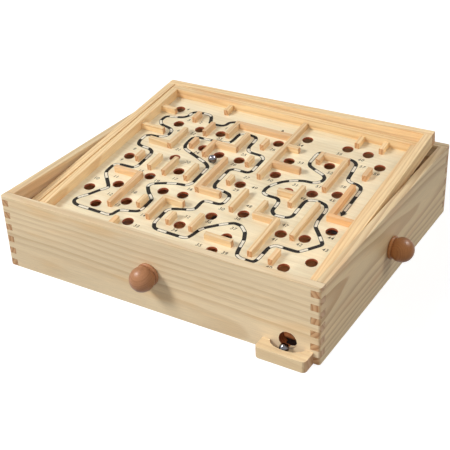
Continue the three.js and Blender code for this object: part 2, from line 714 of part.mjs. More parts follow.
// A closed round tube along a line of points
function tube(points, radius, sides) {
  const positions = [];
  const indices = [];
  const across = new THREE.Vector3();
  points.forEach((point, index) => {
    const before = points[Math.max(index - 1, 0)];
    const after = points[Math.min(index + 1, points.length - 1)];
    const along = after.clone().sub(before).normalize();
    if (index === 0) across.set(along.y, along.z, along.x).cross(along);
    across.addScaledVector(along, -across.dot(along)).normalize();
    const beside = along.clone().cross(across);
    for (let side = 0; side < sides; side += 1) {
      const angle = (FULL_TURN * side) / sides;
      const corner = point.clone()
        .addScaledVector(across, radius * Math.cos(angle))
        .addScaledVector(beside, radius * Math.sin(angle));
      positions.push(corner.x, corner.y, corner.z);
    }
  });
  const last = (points.length - 1) * sides;
  for (let ring = 0; ring < last; ring += sides) {
    for (let side = 0; side < sides; side += 1) {
      const next = (side + 1) % sides;
      const above = ring + sides;
      indices.push(ring + side, ring + next, above + side);
      indices.push(ring + next, above + next, above + side);
    }
  }
  for (let side = 1; side < sides - 1; side += 1) {
    indices.push(0, side + 1, side);
    indices.push(last, last + side, last + side + 1);
  }
  const geometry = new THREE.BufferGeometry();
  geometry.setAttribute('position', new THREE.Float32BufferAttribute(positions, 3));
  geometry.setIndex(indices);
  geometry.computeVertexNormals();
  return geometry;
}

// Least gap between turns of a tube, measured on points along its centre line
function leastSelfGap(points, radius, turnLength) {
  const fine = [];
  for (let i = 1; i < points.length; i += 1) {
    const pieces = Math.ceil(points[i].distanceTo(points[i - 1]) / radius);
    for (let k = 0; k < pieces; k += 1) {
      fine.push(points[i - 1].clone().lerp(points[i], k / pieces));
    }
  }
  const lengths = [0];
  for (let i = 1; i < fine.length; i += 1) {
    lengths.push(lengths[i - 1] + fine[i].distanceTo(fine[i - 1]));
  }
  let least = Infinity;
  for (let i = 0; i < fine.length; i += 1) {
    for (let k = i + 1; k < fine.length; k += 1) {
      if (lengths[k] - lengths[i] > turnLength / 2) {
        least = Math.min(least, fine[i].distanceTo(fine[k]));
      }
    }
  }
  return least - 2 * radius;
}

// Angle round the shaft at which a run to a peg leaves the winding's underside
function tangentAngle(drum, peg, side) {
  const offset = peg.clone().sub(drum.origin);
  const across = offset.dot(drum.across);
  const up = offset.dot(drum.up);
  const spread = Math.acos(WINDING_RADIUS / Math.hypot(across, up));
  return Math.atan2(up, across) - side * spread;
}

// Turns round the shaft, from the run to the right peg to the run to the left peg
function windingPoints(drum, rightPeg, leftPeg) {
  const first = tangentAngle(drum, rightPeg, 1);
  const last = tangentAngle(drum, leftPeg, -1) - FULL_TURN * (CORD_TURNS + 1);
  const steps = Math.ceil(((first - last) / FULL_TURN) * CORD_STEPS_PER_TURN);
  const points = [];
  for (let step = 0; step <= steps; step += 1) {
    const angle = first + ((last - first) * step) / steps;
    points.push(drum.origin.clone()
      .addScaledVector(drum.across, WINDING_RADIUS * Math.cos(angle))
      .addScaledVector(drum.up, WINDING_RADIUS * Math.sin(angle))
      .addScaledVector(drum.along, WINDING_WIDTH * (step / steps - 1 / 2)));
  }
  return points;
}

// A tension spring: its wire leaves the axis, winds, and comes back to the axis
function springPoints(start, direction) {
  const turns = SPRING_TURNS + 1;
  const steps = turns * SPRING_STEPS_PER_TURN;
  const first = new THREE.Vector3(direction.z, direction.x, direction.y).cross(direction);
  first.normalize();
  const second = direction.clone().cross(first);
  const points = [start.clone()];
  for (let step = 0; step <= steps; step += 1) {
    const turn = step / SPRING_STEPS_PER_TURN;
    const radius = SPRING_RADIUS * Math.min(1, 2 * turn, 2 * (turns - turn));
    const angle = FULL_TURN * turn;
    points.push(start.clone()
      .addScaledVector(direction, SPRING_TAIL + SPRING_PITCH * turn)
      .addScaledVector(first, radius * Math.cos(angle))
      .addScaledVector(second, radius * Math.sin(angle)));
  }
  points.push(start.clone().addScaledVector(direction, SPRING_LENGTH));
  return points;
}

// One cord: from the right peg to the shaft, round it, and by way of a spring to the left peg
function addCord(parent, name, drum, rightPeg, leftPeg) {
  const winding = windingPoints(drum, rightPeg, leftPeg);
  const last = winding[winding.length - 1];
  const toRight = rightPeg.clone().sub(winding[0]).normalize();
  const toLeft = leftPeg.clone().sub(last).normalize();
  const hold = PEG_RADIUS + SEAT_GAP;
  const springStart = leftPeg.clone().addScaledVector(toLeft, -hold - SPRING_LENGTH);
  const line = [
    rightPeg.clone().addScaledVector(toRight, -hold),
    ...winding,
    springStart.clone().addScaledVector(toLeft, -SEAT_GAP),
  ];
  const spring = springPoints(springStart, toLeft);
  addMesh(parent, `${name}_cord`, tube(line, CORD_RADIUS, CORD_SIDES), MATERIALS.cord);
  addMesh(parent, `${name}_spring`, tube(spring, SPRING_WIRE_RADIUS, SPRING_SIDES),
    MATERIALS.steel);
  const cordGap = leastSelfGap(winding, CORD_RADIUS, FULL_TURN * WINDING_RADIUS);
  const springGap = leastSelfGap(spring, SPRING_WIRE_RADIUS, FULL_TURN * SPRING_RADIUS);
  console.log(`${name}: least gap of the cord ${cordGap.toFixed(2)} mm, `
    + `of the spring ${springGap.toFixed(2)} mm`);
}

function pegPoint(group, [x, y], bottom) {
  return new THREE.Vector3(x, y, bottom - PEG_HOLD).applyMatrix4(group.matrixWorld);
}

function buildCords(parent, outerFrame, innerFrame) {
  parent.updateMatrixWorld(true);
  const axisX = new THREE.Vector3(1, 0, 0);
  const axisY = new THREE.Vector3(0, 1, 0);
  const up = new THREE.Vector3(0, 0, 1);
  const framePegs = framePegPlaces();
  const frameRight = pegPoint(outerFrame, framePegs.right, OUTER_BOTTOM);
  const frameLeft = pegPoint(outerFrame, framePegs.left, OUTER_BOTTOM);
  const rightDrum = {
    origin: new THREE.Vector3((frameRight.x + frameLeft.x) / 2, 0, RIGHT_SHAFT_HEIGHT),
    across: axisY,
    up,
    along: axisX,
  };
  addCord(parent, 'outer_frame', rightDrum, frameRight, frameLeft);
  const boardPegs = boardPegPlaces();
  const boardRight = pegPoint(innerFrame, boardPegs.right, BOARD_BOTTOM);
  const boardLeft = pegPoint(innerFrame, boardPegs.left, BOARD_BOTTOM);
  const frontDrum = {
    origin: new THREE.Vector3(0, (boardRight.y + boardLeft.y) / 2, FRONT_SHAFT_HEIGHT),
    across: axisX,
    up,
    along: axisY,
  };
  addCord(parent, 'inner_frame', frontDrum, boardRight, boardLeft);
}

// The whole game

const labyrinth = new THREE.Group();
buildCase(labyrinth);
const outerFrame = buildOuterFrame(labyrinth);
const innerFrame = buildInnerFrame(outerFrame);
buildBalls(labyrinth, innerFrame);
buildControls(labyrinth);
buildCords(labyrinth, outerFrame, innerFrame);

export default labyrinth;
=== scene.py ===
# %% [markdown]
# # A tilting labyrinth game in wood
#
# A wooden case holds a frame on two pins, and that frame holds a second one with the maze board.
# Two turned knobs tilt the frames, and the player leads a steel ball along the printed line. The
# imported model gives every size. This script gives each piece its eased edges, its grain and its
# finish, and it works in millimetres until a piece is set down.

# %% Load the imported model
import math
import random

import bmesh
import bpy
from mathutils import Matrix, Vector


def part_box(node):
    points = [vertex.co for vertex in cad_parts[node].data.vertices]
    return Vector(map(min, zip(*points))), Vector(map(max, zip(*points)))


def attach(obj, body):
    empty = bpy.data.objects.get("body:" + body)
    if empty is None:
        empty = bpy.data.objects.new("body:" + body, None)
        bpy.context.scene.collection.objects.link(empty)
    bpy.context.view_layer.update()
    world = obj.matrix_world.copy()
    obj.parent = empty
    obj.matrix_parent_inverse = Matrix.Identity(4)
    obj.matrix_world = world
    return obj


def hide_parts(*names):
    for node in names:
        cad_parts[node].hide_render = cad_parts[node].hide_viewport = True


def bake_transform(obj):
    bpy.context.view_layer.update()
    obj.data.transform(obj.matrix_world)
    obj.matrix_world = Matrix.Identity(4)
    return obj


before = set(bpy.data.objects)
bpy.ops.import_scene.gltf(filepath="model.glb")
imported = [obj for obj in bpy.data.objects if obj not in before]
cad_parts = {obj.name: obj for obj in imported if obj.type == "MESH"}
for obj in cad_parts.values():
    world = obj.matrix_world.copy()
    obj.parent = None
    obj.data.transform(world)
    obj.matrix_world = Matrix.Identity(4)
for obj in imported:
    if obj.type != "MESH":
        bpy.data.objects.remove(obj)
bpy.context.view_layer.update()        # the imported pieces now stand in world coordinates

MM = 0.001

# %% [markdown]
# ## Camera
#
# The game was photographed with a long lens, from the front right and from above. A camera is
# placed by three facts: where it stands, which way it looks, and how it leans. The direction
# becomes a turn with `to_track_quat`, and the lean is one more turn about the camera's own Z.

# %% Camera
CAMERA_PLACE = Vector((0.45646, -0.73934, 0.52160))
CAMERA_LOOK = Vector((-0.46135, 0.72978, -0.50455))
CAMERA_LEAN = math.radians(-2.49)
CAMERA_LENS = 77.98
CAMERA_NEAREST = 0.01


def add_object(name, data):
    made = bpy.data.objects.new(name, data)
    bpy.context.scene.collection.objects.link(made)
    return made


def aim(thing, place, way, lean=0.0):
    """Stands a camera or a lamp at a place, turns it along a way, and leans it."""
    thing.location = place
    thing.rotation_mode = "QUATERNION"
    level_turn = way.to_track_quat("-Z", "Y").to_matrix()
    thing.rotation_quaternion = (level_turn @ Matrix.Rotation(lean, 3, "Z")).to_quaternion()


camera_data = bpy.data.cameras.new("camera")
camera_data.lens = CAMERA_LENS
camera_data.clip_start = CAMERA_NEAREST
camera = add_object("camera", camera_data)
aim(camera, CAMERA_PLACE, CAMERA_LOOK, CAMERA_LEAN)
bpy.context.scene.camera = camera
print("camera", round(CAMERA_PLACE.length, 3), "m from the middle, lens", CAMERA_LENS, "mm")

# %% [markdown]
# ## Nodes in few words
#
# A material is a tree of nodes, and each node needs the same three steps: make it, set it, and
# link its inputs. These helpers do that, so that a material below reads like its recipe. An
# input may be a number or the output of another node.

# %% Helpers for node trees


def feed(tree, node, inputs):
    """Sets the inputs of a node; one that is given as a socket is linked."""
    for key, value in inputs.items():
        if isinstance(value, bpy.types.NodeSocket):
            tree.links.new(value, node.inputs[key])
        else:
            node.inputs[key].default_value = value


def add_node(tree, kind, settings=None, inputs=None):
    node = tree.nodes.new("ShaderNode" + kind)
    for key, value in (settings or {}).items():
        setattr(node, key, value)
    feed(tree, node, inputs or {})
    return node


def maths(tree, operation, first, second=0.0, clamp=False):
    settings = {"operation": operation, "use_clamp": clamp}
    return add_node(tree, "Math", settings, {0: first, 1: second}).outputs[0]


def times(tree, product, *factors):
    for factor in factors:
        product = maths(tree, "MULTIPLY", product, factor)
    return product


def vector_maths(tree, operation, *values):
    node = add_node(tree, "VectorMath", {"operation": operation}, dict(enumerate(values)))
    return node.outputs[1 if operation in ("LENGTH", "DISTANCE") else 0]


def blend(tree, share, first, second, how="MIX"):
    settings = {"data_type": "RGBA", "blend_type": how}
    return add_node(tree, "Mix", settings, {0: share, 6: first, 7: second}).outputs[2]


def spread(tree, value, low, high, new_low=0.0, new_high=1.0):
    """Stretches a value's range from low and high to new ends, with soft shoulders."""
    inputs = {"Value": value, "From Min": low, "From Max": high, "To Min": new_low,
              "To Max": new_high}
    return add_node(tree, "MapRange", {"interpolation_type": "SMOOTHSTEP"}, inputs).outputs[0]


def cloud(tree, place, scale, detail=2.0, roughness=0.5, output=0):
    """Soft noise whose grain size differs along each axis."""
    mapped = add_node(tree, "Mapping", None, {"Vector": place, "Scale": scale}).outputs[0]
    inputs = {"Vector": mapped, "Scale": 1.0, "Detail": detail, "Roughness": roughness}
    return add_node(tree, "TexNoise", None, inputs).outputs[output]


def bump(tree, height, strength, distance):
    inputs = {"Strength": strength, "Distance": distance, "Height": height}
    return add_node(tree, "Bump", None, inputs).outputs[0]


print("helpers for node trees are ready")

# %% [markdown]
# ## What a material starts from
#
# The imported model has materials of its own, some of the same names, so the finishes made here
# are kept in a table. The pattern on a piece hangs on Object coordinates, which move with the
# piece, or on numbers that were written to its mesh.

# %% Helpers for materials
FINISHES = {}


def new_material(name):
    """Makes a material, keeps it in the table, and gives its tree and its shader."""
    made = FINISHES[name] = bpy.data.materials.new(name)
    made.use_nodes = True
    return made.node_tree, made.node_tree.nodes["Principled BSDF"]


def object_place(tree):
    return add_node(tree, "TexCoord").outputs["Object"]


def part_of(tree, place, axis):
    return add_node(tree, "SeparateXYZ", None, {0: place}).outputs[axis]


def attribute(tree, name, output="Fac"):
    return add_node(tree, "Attribute", {"attribute_name": name}).outputs[output]


def colour(red, green, blue):
    """A colour as a picture program shows it, turned into light."""
    linear = [(part / 255) ** 2.2 for part in (red, green, blue)]
    return (*linear, 1.0)


print("middle grey as light", round(colour(128, 128, 128)[0], 3))

# %% [markdown]
# ## Stage and light
#
# A product picture like this one is taken on white and cut out. The floor takes the shadow. To
# the camera it is nearly white, but it sends little light back up, so that the undersides stay
# dark as in the photograph: Light Path tells the two kinds of ray apart. Further out the floor
# glows a little more, so that its edge never shows. The sky is plain white to the camera and in
# reflections, and weaker as a source of light.

# %% Floor and sky
SKY_LEVEL = 0.2
FLOOR_SIZE = 3.0
FLOOR_DROP = 0.0002
FLOOR_SHADES = (0.44, 0.48)
FLOOR_BOUNCE = 0.15
FLOOR_GLOW = 0.74
FAR_GLOW = 1.0
GLOW_REACH = (0.5, 1.2)
WHITE = (1, 1, 1, 1)


def grey(level):
    return (level, level, level, 1)


def seen_directly(tree):
    """1 for rays from the camera and for those mirrored or passed on by a piece."""
    path = add_node(tree, "LightPath").outputs
    both = maths(tree, "ADD", path["Is Camera Ray"], path["Is Glossy Ray"], True)
    return maths(tree, "ADD", both, path["Is Transmission Ray"], True)


def paint_floor(name):
    tree, shader = new_material(name)
    place = object_place(tree)
    dust = cloud(tree, place, (9, 9, 9), 3.0)
    seen = seen_directly(tree)
    tint = blend(tree, dust, *[grey(shade) for shade in FLOOR_SHADES])
    away = vector_maths(tree, "LENGTH", place)
    glow = spread(tree, away, *GLOW_REACH, FLOOR_GLOW, FAR_GLOW)
    feed(tree, shader, {
        "Base Color": blend(tree, seen, grey(FLOOR_BOUNCE), tint), "Roughness": 0.9,
        "Specular IOR Level": 0.1, "Emission Color": WHITE,
        "Emission Strength": times(tree, seen, glow)})


def mesh_from(shape, name):
    """Writes a bmesh to a new mesh and lets the bmesh go."""
    mesh = bpy.data.meshes.new(name)
    shape.to_mesh(mesh)
    shape.free()
    return mesh


floor_shape = bmesh.new()
bmesh.ops.create_grid(floor_shape, x_segments=4, y_segments=4, size=FLOOR_SIZE)
bmesh.ops.translate(floor_shape, vec=(0, 0, -FLOOR_DROP), verts=floor_shape.verts)
floor = add_object("floor", mesh_from(floor_shape, "floor"))
paint_floor("pale_floor")
floor.data.materials.append(FINISHES["pale_floor"])

world = bpy.data.worlds.new("white_room")
bpy.context.scene.world = world
world.use_nodes = True
room = world.node_tree
feed(room, room.nodes["Background"], {
    "Color": WHITE, "Strength": spread(room, seen_directly(room), 0, 1, SKY_LEVEL, 1.0)})
bpy.context.scene.view_settings.view_transform = "Standard"
print("floor and sky, sky level", SKY_LEVEL)

# %% [markdown]
# ## Lamps
#
# The main lamp at the upper left front draws the soft shadows to the lower right. The right side
# and the back get nothing from it, so a weaker lamp stands on each of those sides, which keeps
# them a little darker, as in the photograph. A small one stands beside the camera: its light falls
# through the holes to just where the camera looks, so that they read brown and not black. Gloss
# comes from two bright cards instead, which only show as highlights.

# %% Lamps
LAMPS = {  # place, power, size, and the kind of ray that doesn't meet it
    "key_lamp": ((-1.01, -1.21, 1.25), 27.6, 0.6, "glossy"),
    "side_lamp": ((1.45, 0.64, 1.23), 8.8, 0.6, "glossy"),
    "back_lamp": ((-0.7, 1.9, 0.5), 6.5, 0.6, "glossy"),
    "fill_lamp": (CAMERA_PLACE * 1.02, 2.6, 0.12, "glossy"),
    "left_card": ((-1.1, -0.7, 1.55), 60.0, 0.56, "diffuse"),
    "right_card": ((0.75, 0.8, 1.15), 26.0, 0.56, "diffuse"),
}

for name, (place, power, size, unmet) in LAMPS.items():
    lamp_data = bpy.data.lights.new(name, "AREA")
    lamp_data.shape = "DISK"
    lamp_data.size = size
    lamp_data.energy = power
    lamp = add_object(name, lamp_data)
    aim(lamp, place, -Vector(place))
    setattr(lamp, "visible_" + unmet, False)
    print(name, "stands", round(Vector(place).length, 2), "m from the middle")

# %% [markdown]
# ## Places of the tilted frames
#
# The two frames rest tilted, but every rail was sawn square. So each piece is worked on level,
# in the square frame of its rail, and tilted into place when it is set down. The axes cross
# 70 mm over the floor; the outer frame leans about X and the inner one about its own Y.

# %% Places
AXIS_HEIGHT = 70
FRAME_TILT = math.radians(7.48)
BOARD_TILT = math.radians(2)
LEVEL = Matrix.Identity(4)
AXES_PLACE = Matrix.Translation((0, 0, AXIS_HEIGHT))
OUTER_PLACE = AXES_PLACE @ Matrix.Rotation(FRAME_TILT, 4, "X")
INNER_PLACE = OUTER_PLACE @ Matrix.Rotation(BOARD_TILT, 4, "Y")
WELD_GAP = 0.005
FLAT_ANGLE = math.radians(1)


def merged_copy(node, place=LEVEL):
    """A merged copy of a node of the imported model, in millimetres, with its tilt taken out."""
    shape = bmesh.new()
    shape.from_mesh(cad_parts[node].data)
    shape.transform(place.inverted() @ Matrix.Scale(1 / MM, 4))
    bmesh.ops.remove_doubles(shape, verts=shape.verts, dist=WELD_GAP)
    return shape


def level_copy(node, place=LEVEL):
    """A merged copy with one face for each flat side."""
    shape = merged_copy(node, place)
    bmesh.ops.dissolve_limit(shape, angle_limit=FLAT_ANGLE, verts=shape.verts,
                             edges=shape.edges)
    return shape


def corners(shape):
    """Lowest and highest corner of a shape."""
    places = [vert.co for vert in shape.verts]
    return [Vector([pick(place[axis] for place in places) for axis in range(3)])
            for pick in (min, max)]


print("frame leans", round(math.degrees(FRAME_TILT), 2), "degrees, and the board",
      round(math.degrees(BOARD_TILT), 2), "more")

# %% [markdown]
# ## Easing and setting down
#
# Every piece takes the same two steps. A bevel rounds its sharp edges. Then it is scaled to
# metres, put in its place, smoothed, and given its materials and its body.

# %% Easing and setting down
SHARP_ANGLE = math.radians(40)
SMOOTH_ANGLE = math.radians(50)


def ease(shape, width, segments=2, wanted=None):
    """Rounds the sharp edges, or those of them that wanted picks, and gives the new faces."""
    sharp = [edge for edge in shape.edges
             if len(edge.link_faces) == 2 and edge.calc_face_angle() > SHARP_ANGLE]
    chosen = [edge for edge in sharp if wanted is None or wanted(edge)]
    made = bmesh.ops.bevel(shape, geom=chosen, offset=width, offset_type="OFFSET",
                           segments=segments, profile=0.5, affect="EDGES", clamp_overlap=True,
                           material=-1)
    return made["faces"]


def set_down(shape, name, body, finishes, place=LEVEL, stands_for=()):
    """Makes the object, in metres and in place, and gives it its materials and body."""
    shape.transform(Matrix.Scale(MM, 4) @ place)
    piece = add_object(name, mesh_from(shape, name))
    piece.data.shade_smooth()
    piece.data.set_sharp_from_angle(angle=SMOOTH_ANGLE)
    for finish in finishes:
        piece.data.materials.append(FINISHES[finish])
    if body:
        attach(piece, body)
    if stands_for:
        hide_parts(*stands_for)
    return piece


def even_light(piece):
    """Lets the large faces keep their flat shading beside a rounded edge."""
    piece.modifiers.new("even_light", "WEIGHTED_NORMAL").keep_sharp = True


print("edges sharper than", round(math.degrees(SHARP_ANGLE)), "degrees are rounded")

# %% [markdown]
# ## Where a board lay in its tree
#
# Grain is the tree's rings cut by the saw. The look comes from one fact for each board: how its
# points lay in the trunk. That is written to the mesh as an attribute, `grain_place`, in
# millimetres, with X up the trunk and the heart of the tree at Y = Z = 0. A board far from the
# heart gets straight lines, and one that leans gets long arches. A second attribute marks the
# faces that cut the fibres across, which look darker.

# %% Grain attributes
WOOD_AXES = {"x": (0, 2, 1), "y": (1, 2, 0)}


def float_layer(shape, name):
    """The layer of that name, with one number for each corner of each face."""
    return shape.loops.layers.float.get(name) or shape.loops.layers.float.new(name)


def mark(shape, name, faces):
    """Writes 1 to a layer at the corners of the faces."""
    layer = float_layer(shape, name)
    for face in faces:
        for loop in face.loops:
            loop[layer] = 1.0


def lay_grain(shape, along, heart, lean, start, faces=None, tone=0.0):
    """Writes to each corner of the faces where it lay in the tree, and how warm its wood is."""
    vectors = shape.loops.layers.float_vector
    place_layer = vectors.get("grain_place") or vectors.new("grain_place")
    end_layer = float_layer(shape, "end_grain")
    tone_layer = float_layer(shape, "tone")
    shape.normal_update()
    low, high = corners(shape)
    middle = (low + high) / 2
    axes = WOOD_AXES[along]
    for face in (faces if faces is not None else shape.faces):
        across_fibres = min(1.0, max(0.0, 2 * abs(face.normal[axes[0]]) - 0.8))
        for loop in face.loops:
            length, up, depth = [loop.vert.co[axis] - middle[axis] for axis in axes]
            loop[place_layer] = (length + start, up + heart[0] + lean[0] * length,
                                 depth + heart[1] + lean[1] * length)
            loop[end_layer] = across_fibres
            loop[tone_layer] = tone


chance = random.Random(11)


def any_grain(shape, along, faces=None, tone=0.0):
    """Grain of a small strip, cut anywhere from the tree."""
    heart = (chance.uniform(-26, 26), chance.uniform(16, 48))
    lean = (chance.uniform(-0.03, 0.03), chance.uniform(-0.05, 0.05))
    lay_grain(shape, along, heart, lean, chance.uniform(0, 3000), faces, tone)


print("grain runs along", ", ".join(WOOD_AXES))

# %% [markdown]
# ## Pine
#
# The whole case is pine: pale early wood, thin darker late wood at the end of each ring, fine
# fibres, and warm blushes where resin sits. One node group holds that, and each wood of the game
# uses it with its own colours. The distance to the heart, divided by the width of a ring, gives
# the ring, and noise bends the rings a little, as growth does.

# %% Node group for pine
END_TINT = colour(222, 200, 190)
PINE_SOCKETS = {
    "INPUT": {"Place": "Vector", "Ends": "Float", "Tone": "Float", "Early": "Color",
              "Late": "Color", "Blush": "Color", "Ring width": "Float", "Figure": "Float",
              "Roughness": "Float"},
    "OUTPUT": {"Color": "Color", "Roughness": "Float", "Height": "Float"},
}


def build_pine():
    group = bpy.data.node_groups.new("pine", "ShaderNodeTree")
    for way, sockets in PINE_SOCKETS.items():
        for key, kind in sockets.items():
            group.interface.new_socket(name=key, in_out=way, socket_type="NodeSocket" + kind)
    given = group.nodes.new("NodeGroupInput").outputs
    result = group.nodes.new("NodeGroupOutput")
    place = given["Place"]

    wander = cloud(group, place, (0.007, 0.03, 0.03), output="Color")
    centred = vector_maths(group, "SUBTRACT", wander, (0.5, 0.5, 0.5))
    bent = vector_maths(group, "MULTIPLY_ADD", centred, (0, 6, 6), place)
    from_heart = vector_maths(group, "LENGTH", vector_maths(group, "MULTIPLY", bent, (0, 1, 1)))
    ring = maths(group, "DIVIDE", from_heart, given["Ring width"])
    growth = maths(group, "FRACT", ring)
    late = times(group, spread(group, growth, 0.25, 0.86),
                 spread(group, growth, 0.9, 1.0, 1.0, 0.0))
    year = add_node(group, "TexWhiteNoise", {"noise_dimensions": "1D"},
                    {"W": maths(group, "FLOOR", ring)}).outputs["Value"]
    figure = times(group, late, spread(group, year, 0, 1, 0.35, 1.0), given["Figure"])

    fibre = cloud(group, place, (0.02, 1.6, 1.6), 4.0, 0.6)
    fine = cloud(group, place, (0.09, 5.0, 5.0), 2.0, 0.6)
    patch = cloud(group, place, (0.012, 0.06, 0.06))
    sap = cloud(group, place, (0.004, 0.025, 0.025), 1.0)
    wood = blend(group, figure, given["Early"], given["Late"])
    wood = blend(group, spread(group, patch, 0.52, 0.78, 0.0, 0.5), wood, given["Blush"])
    wood = blend(group, given["Tone"], wood, given["Blush"])
    streak = times(group, spread(group, fibre, 0.3, 0.7, 0.93, 1.05),
                   spread(group, fine, 0.3, 0.75, 0.97, 1.03),
                   spread(group, sap, 0.3, 0.7, 0.94, 1.05))
    shade = add_node(group, "CombineColor", None, {0: streak, 1: streak, 2: streak}).outputs[0]
    wood = blend(group, 1.0, wood, shade, "MULTIPLY")
    sawn = blend(group, times(group, late, 0.95), given["Early"], given["Late"])
    sawn = blend(group, 1.0, sawn, END_TINT, "MULTIPLY")
    feed(group, result, {
        "Color": blend(group, given["Ends"], wood, sawn),
        "Roughness": maths(group, "ADD", given["Roughness"], times(group, fibre, 0.14)),
        "Height": maths(group, "ADD", times(group, figure, 0.6), fibre)})
    return group


PINE = build_pine()
print("pine group has", len(PINE.nodes), "nodes")

# %% [markdown]
# ## Finishes of the wooden pieces
#
# The case is left nearly raw and looks a little grey, the rails and the maze strips are warmer,
# and the board is the palest. Each finish is one material that reads the grain attributes and
# feeds the pine group.

# %% Wood materials
GLUE_LINE = colour(120, 80, 58)
# Painted shade: the faces inside the case are darkened and reddened towards the bottom, for the
# shade in there and the warm light bounced off the hardboard.
INSIDE_PAINTED_SHADE = colour(226, 176, 148)
INSIDE_SHADE_HEIGHTS = (0.03, 0.088)
WOODS = {  # early wood, late wood, blush, ring width in mm, figure, roughness
    "case_wood": ((229, 206, 169), (203, 172, 131), (226, 184, 128), 5.4, 0.66, 0.46),
    "side_wood": ((229, 202, 158), (189, 151, 107), (218, 170, 122), 4.6, 0.9, 0.46),
    "frame_wood": ((246, 214, 164), (214, 168, 114), (228, 168, 112), 3.6, 0.6, 0.46),
    "maze_wood": ((238, 208, 162), (212, 168, 116), (224, 174, 126), 3.0, 0.7, 0.46),
    "tray_wood": ((230, 204, 163), (210, 174, 128), (222, 182, 134), 6.0, 0.4, 0.46),
    "board_face": ((242, 227, 193), (231, 210, 170), (238, 216, 176), 5.0, 0.5, 0.42),
    # Painted shade with warm bounce light, for the walls of the exit hole and of the scoop.
    "bore_painted_shade": ((160, 96, 58), (112, 58, 30), (140, 76, 42), 3.0, 0.5, 0.46),
}


def use_pine(tree, place, wood, ends=0.0, tone=0.0):
    """The pine group with the colours and sizes of one wood."""
    early, late, blush, ring_width, figure, roughness = wood
    return add_node(tree, "Group", {"node_tree": PINE}, {
        "Place": place, "Ends": ends, "Tone": tone, "Early": colour(*early),
        "Late": colour(*late), "Blush": colour(*blush), "Ring width": ring_width,
        "Figure": figure, "Roughness": roughness}).outputs


def finish_wood(name, wood):
    tree, shader = new_material(name)
    ends, tone, seam, inner = [attribute(tree, key) for key in
                               ("end_grain", "tone", "seam", "inside_shade_mask")]
    pine = use_pine(tree, attribute(tree, "grain_place", "Vector"), wood, ends, tone)
    # Painted shade and bounce light on the faces inside the case, darker towards the bottom.
    shade_low_down = spread(tree, part_of(tree, object_place(tree), "Z"), *INSIDE_SHADE_HEIGHTS, 1.0, 0.0)
    tint = blend(tree, times(tree, inner, shade_low_down), pine["Color"], INSIDE_PAINTED_SHADE, "MULTIPLY")
    feed(tree, shader, {
        "Base Color": blend(tree, seam, tint, GLUE_LINE), "Roughness": pine["Roughness"],
        "Normal": bump(tree, pine["Height"], 0.35, 0.00015), "Specular IOR Level": 0.35})


for name, wood in WOODS.items():
    finish_wood(name, wood)
print(len(WOODS), "wood finishes")

# %% [markdown]
# ## Hardboard
#
# The board under the print, the sloping board that brings a lost ball back, and the bottom are
# pressed fibre: reddish brown, mottled, and dull. It is what shows through the holes. It has no
# grain to follow, so plain Object coordinates do. Near the exit, a strip of the sloping board
# along the front wall is painted nearly black: a painted shadow of the dark gap between that board
# and the wall. A drilled edge is darker than the face.

# %% Hardboard
EXIT_MOUTH = (0.142, -0.138, 0.012)
# Painted shadow: a strip of the sloping board along the front wall, near the exit, is darkened
# nearly black.
EXIT_SHADE_REACH = (0.014, 0.026)
EXIT_SHADE_STRIP = (-0.1385, -0.135)
EXIT_PAINTED_SHADOW = colour(30, 16, 10)
SPECK_TINT = colour(160, 82, 52)


def paint_hardboard(name, dark, light):
    tree, shader = new_material(name)
    place = object_place(tree)
    mottle = cloud(tree, place, (160, 160, 160), 4.0, 0.65)
    speck = cloud(tree, place, (900, 900, 900), 3.0, 0.7)
    tint = blend(tree, spread(tree, mottle, 0.3, 0.7), dark, light)
    tint = blend(tree, spread(tree, speck, 0.5, 0.75, 0.0, 0.5), tint, SPECK_TINT)
    # Painted shadow near the exit, in a strip along the front wall.
    to_exit = vector_maths(tree, "DISTANCE", place, EXIT_MOUTH)
    shadow_by_exit = spread(tree, to_exit, *EXIT_SHADE_REACH, 1.0, 0.0)
    shadow_in_strip = spread(tree, part_of(tree, place, "Y"), *EXIT_SHADE_STRIP, 1.0, 0.0)
    feed(tree, shader, {
        "Base Color": blend(tree, times(tree, shadow_by_exit, shadow_in_strip), tint, EXIT_PAINTED_SHADOW),
        "Roughness": spread(tree, speck, 0.3, 0.7, 0.55, 0.8),
        "Normal": bump(tree, speck, 0.3, 0.0002)})


paint_hardboard("hardboard", colour(240, 142, 86), colour(252, 168, 110))
paint_hardboard("hardboard_edge", colour(150, 78, 48), colour(176, 96, 62))
print("hardboard and its cut edge are ready")

# %% [markdown]
# ## Case walls
#
# Four boards meet in finger joints, and the corners are rounded over after gluing. The packed
# model has the fingers. A merged copy gets a tiny bevel along every joint, so that each seam
# catches the light, and a wider one along the top. The front board was cut near the heart: its
# rings make long arches in the lower half and close lines above.

# %% Edges and faces of the walls
CORNER_X = 163.0     # past these, the fingers of two walls meet
CORNER_Y = 140.5
INNER_X = 163.7      # inner faces lie within these
INNER_Y = 141.2
EXIT_X = 142.0
EXIT_HEIGHT = 15.7
EXIT_REACH = 9.2


def high_edges(level, shortest=0.0, longest=math.inf):
    """A test for edges over a level whose length lies between two others."""
    return lambda edge: (min(vert.co.z for vert in edge.verts) > level
                         and shortest < edge.calc_length() < longest)


def on_joint(face):
    """A bevel along a finger joint, where glue shows as a thin dark line."""
    centre = face.calc_center_median()
    return abs(centre.x) > CORNER_X and abs(centre.y) > CORNER_Y


def looks_in(face):
    """A face that looks into the case, which gets painted shade and warm bounce light low down."""
    centre = face.calc_center_median()
    return abs(centre.x) < INNER_X and abs(centre.y) < INNER_Y and abs(face.normal.z) < 0.5


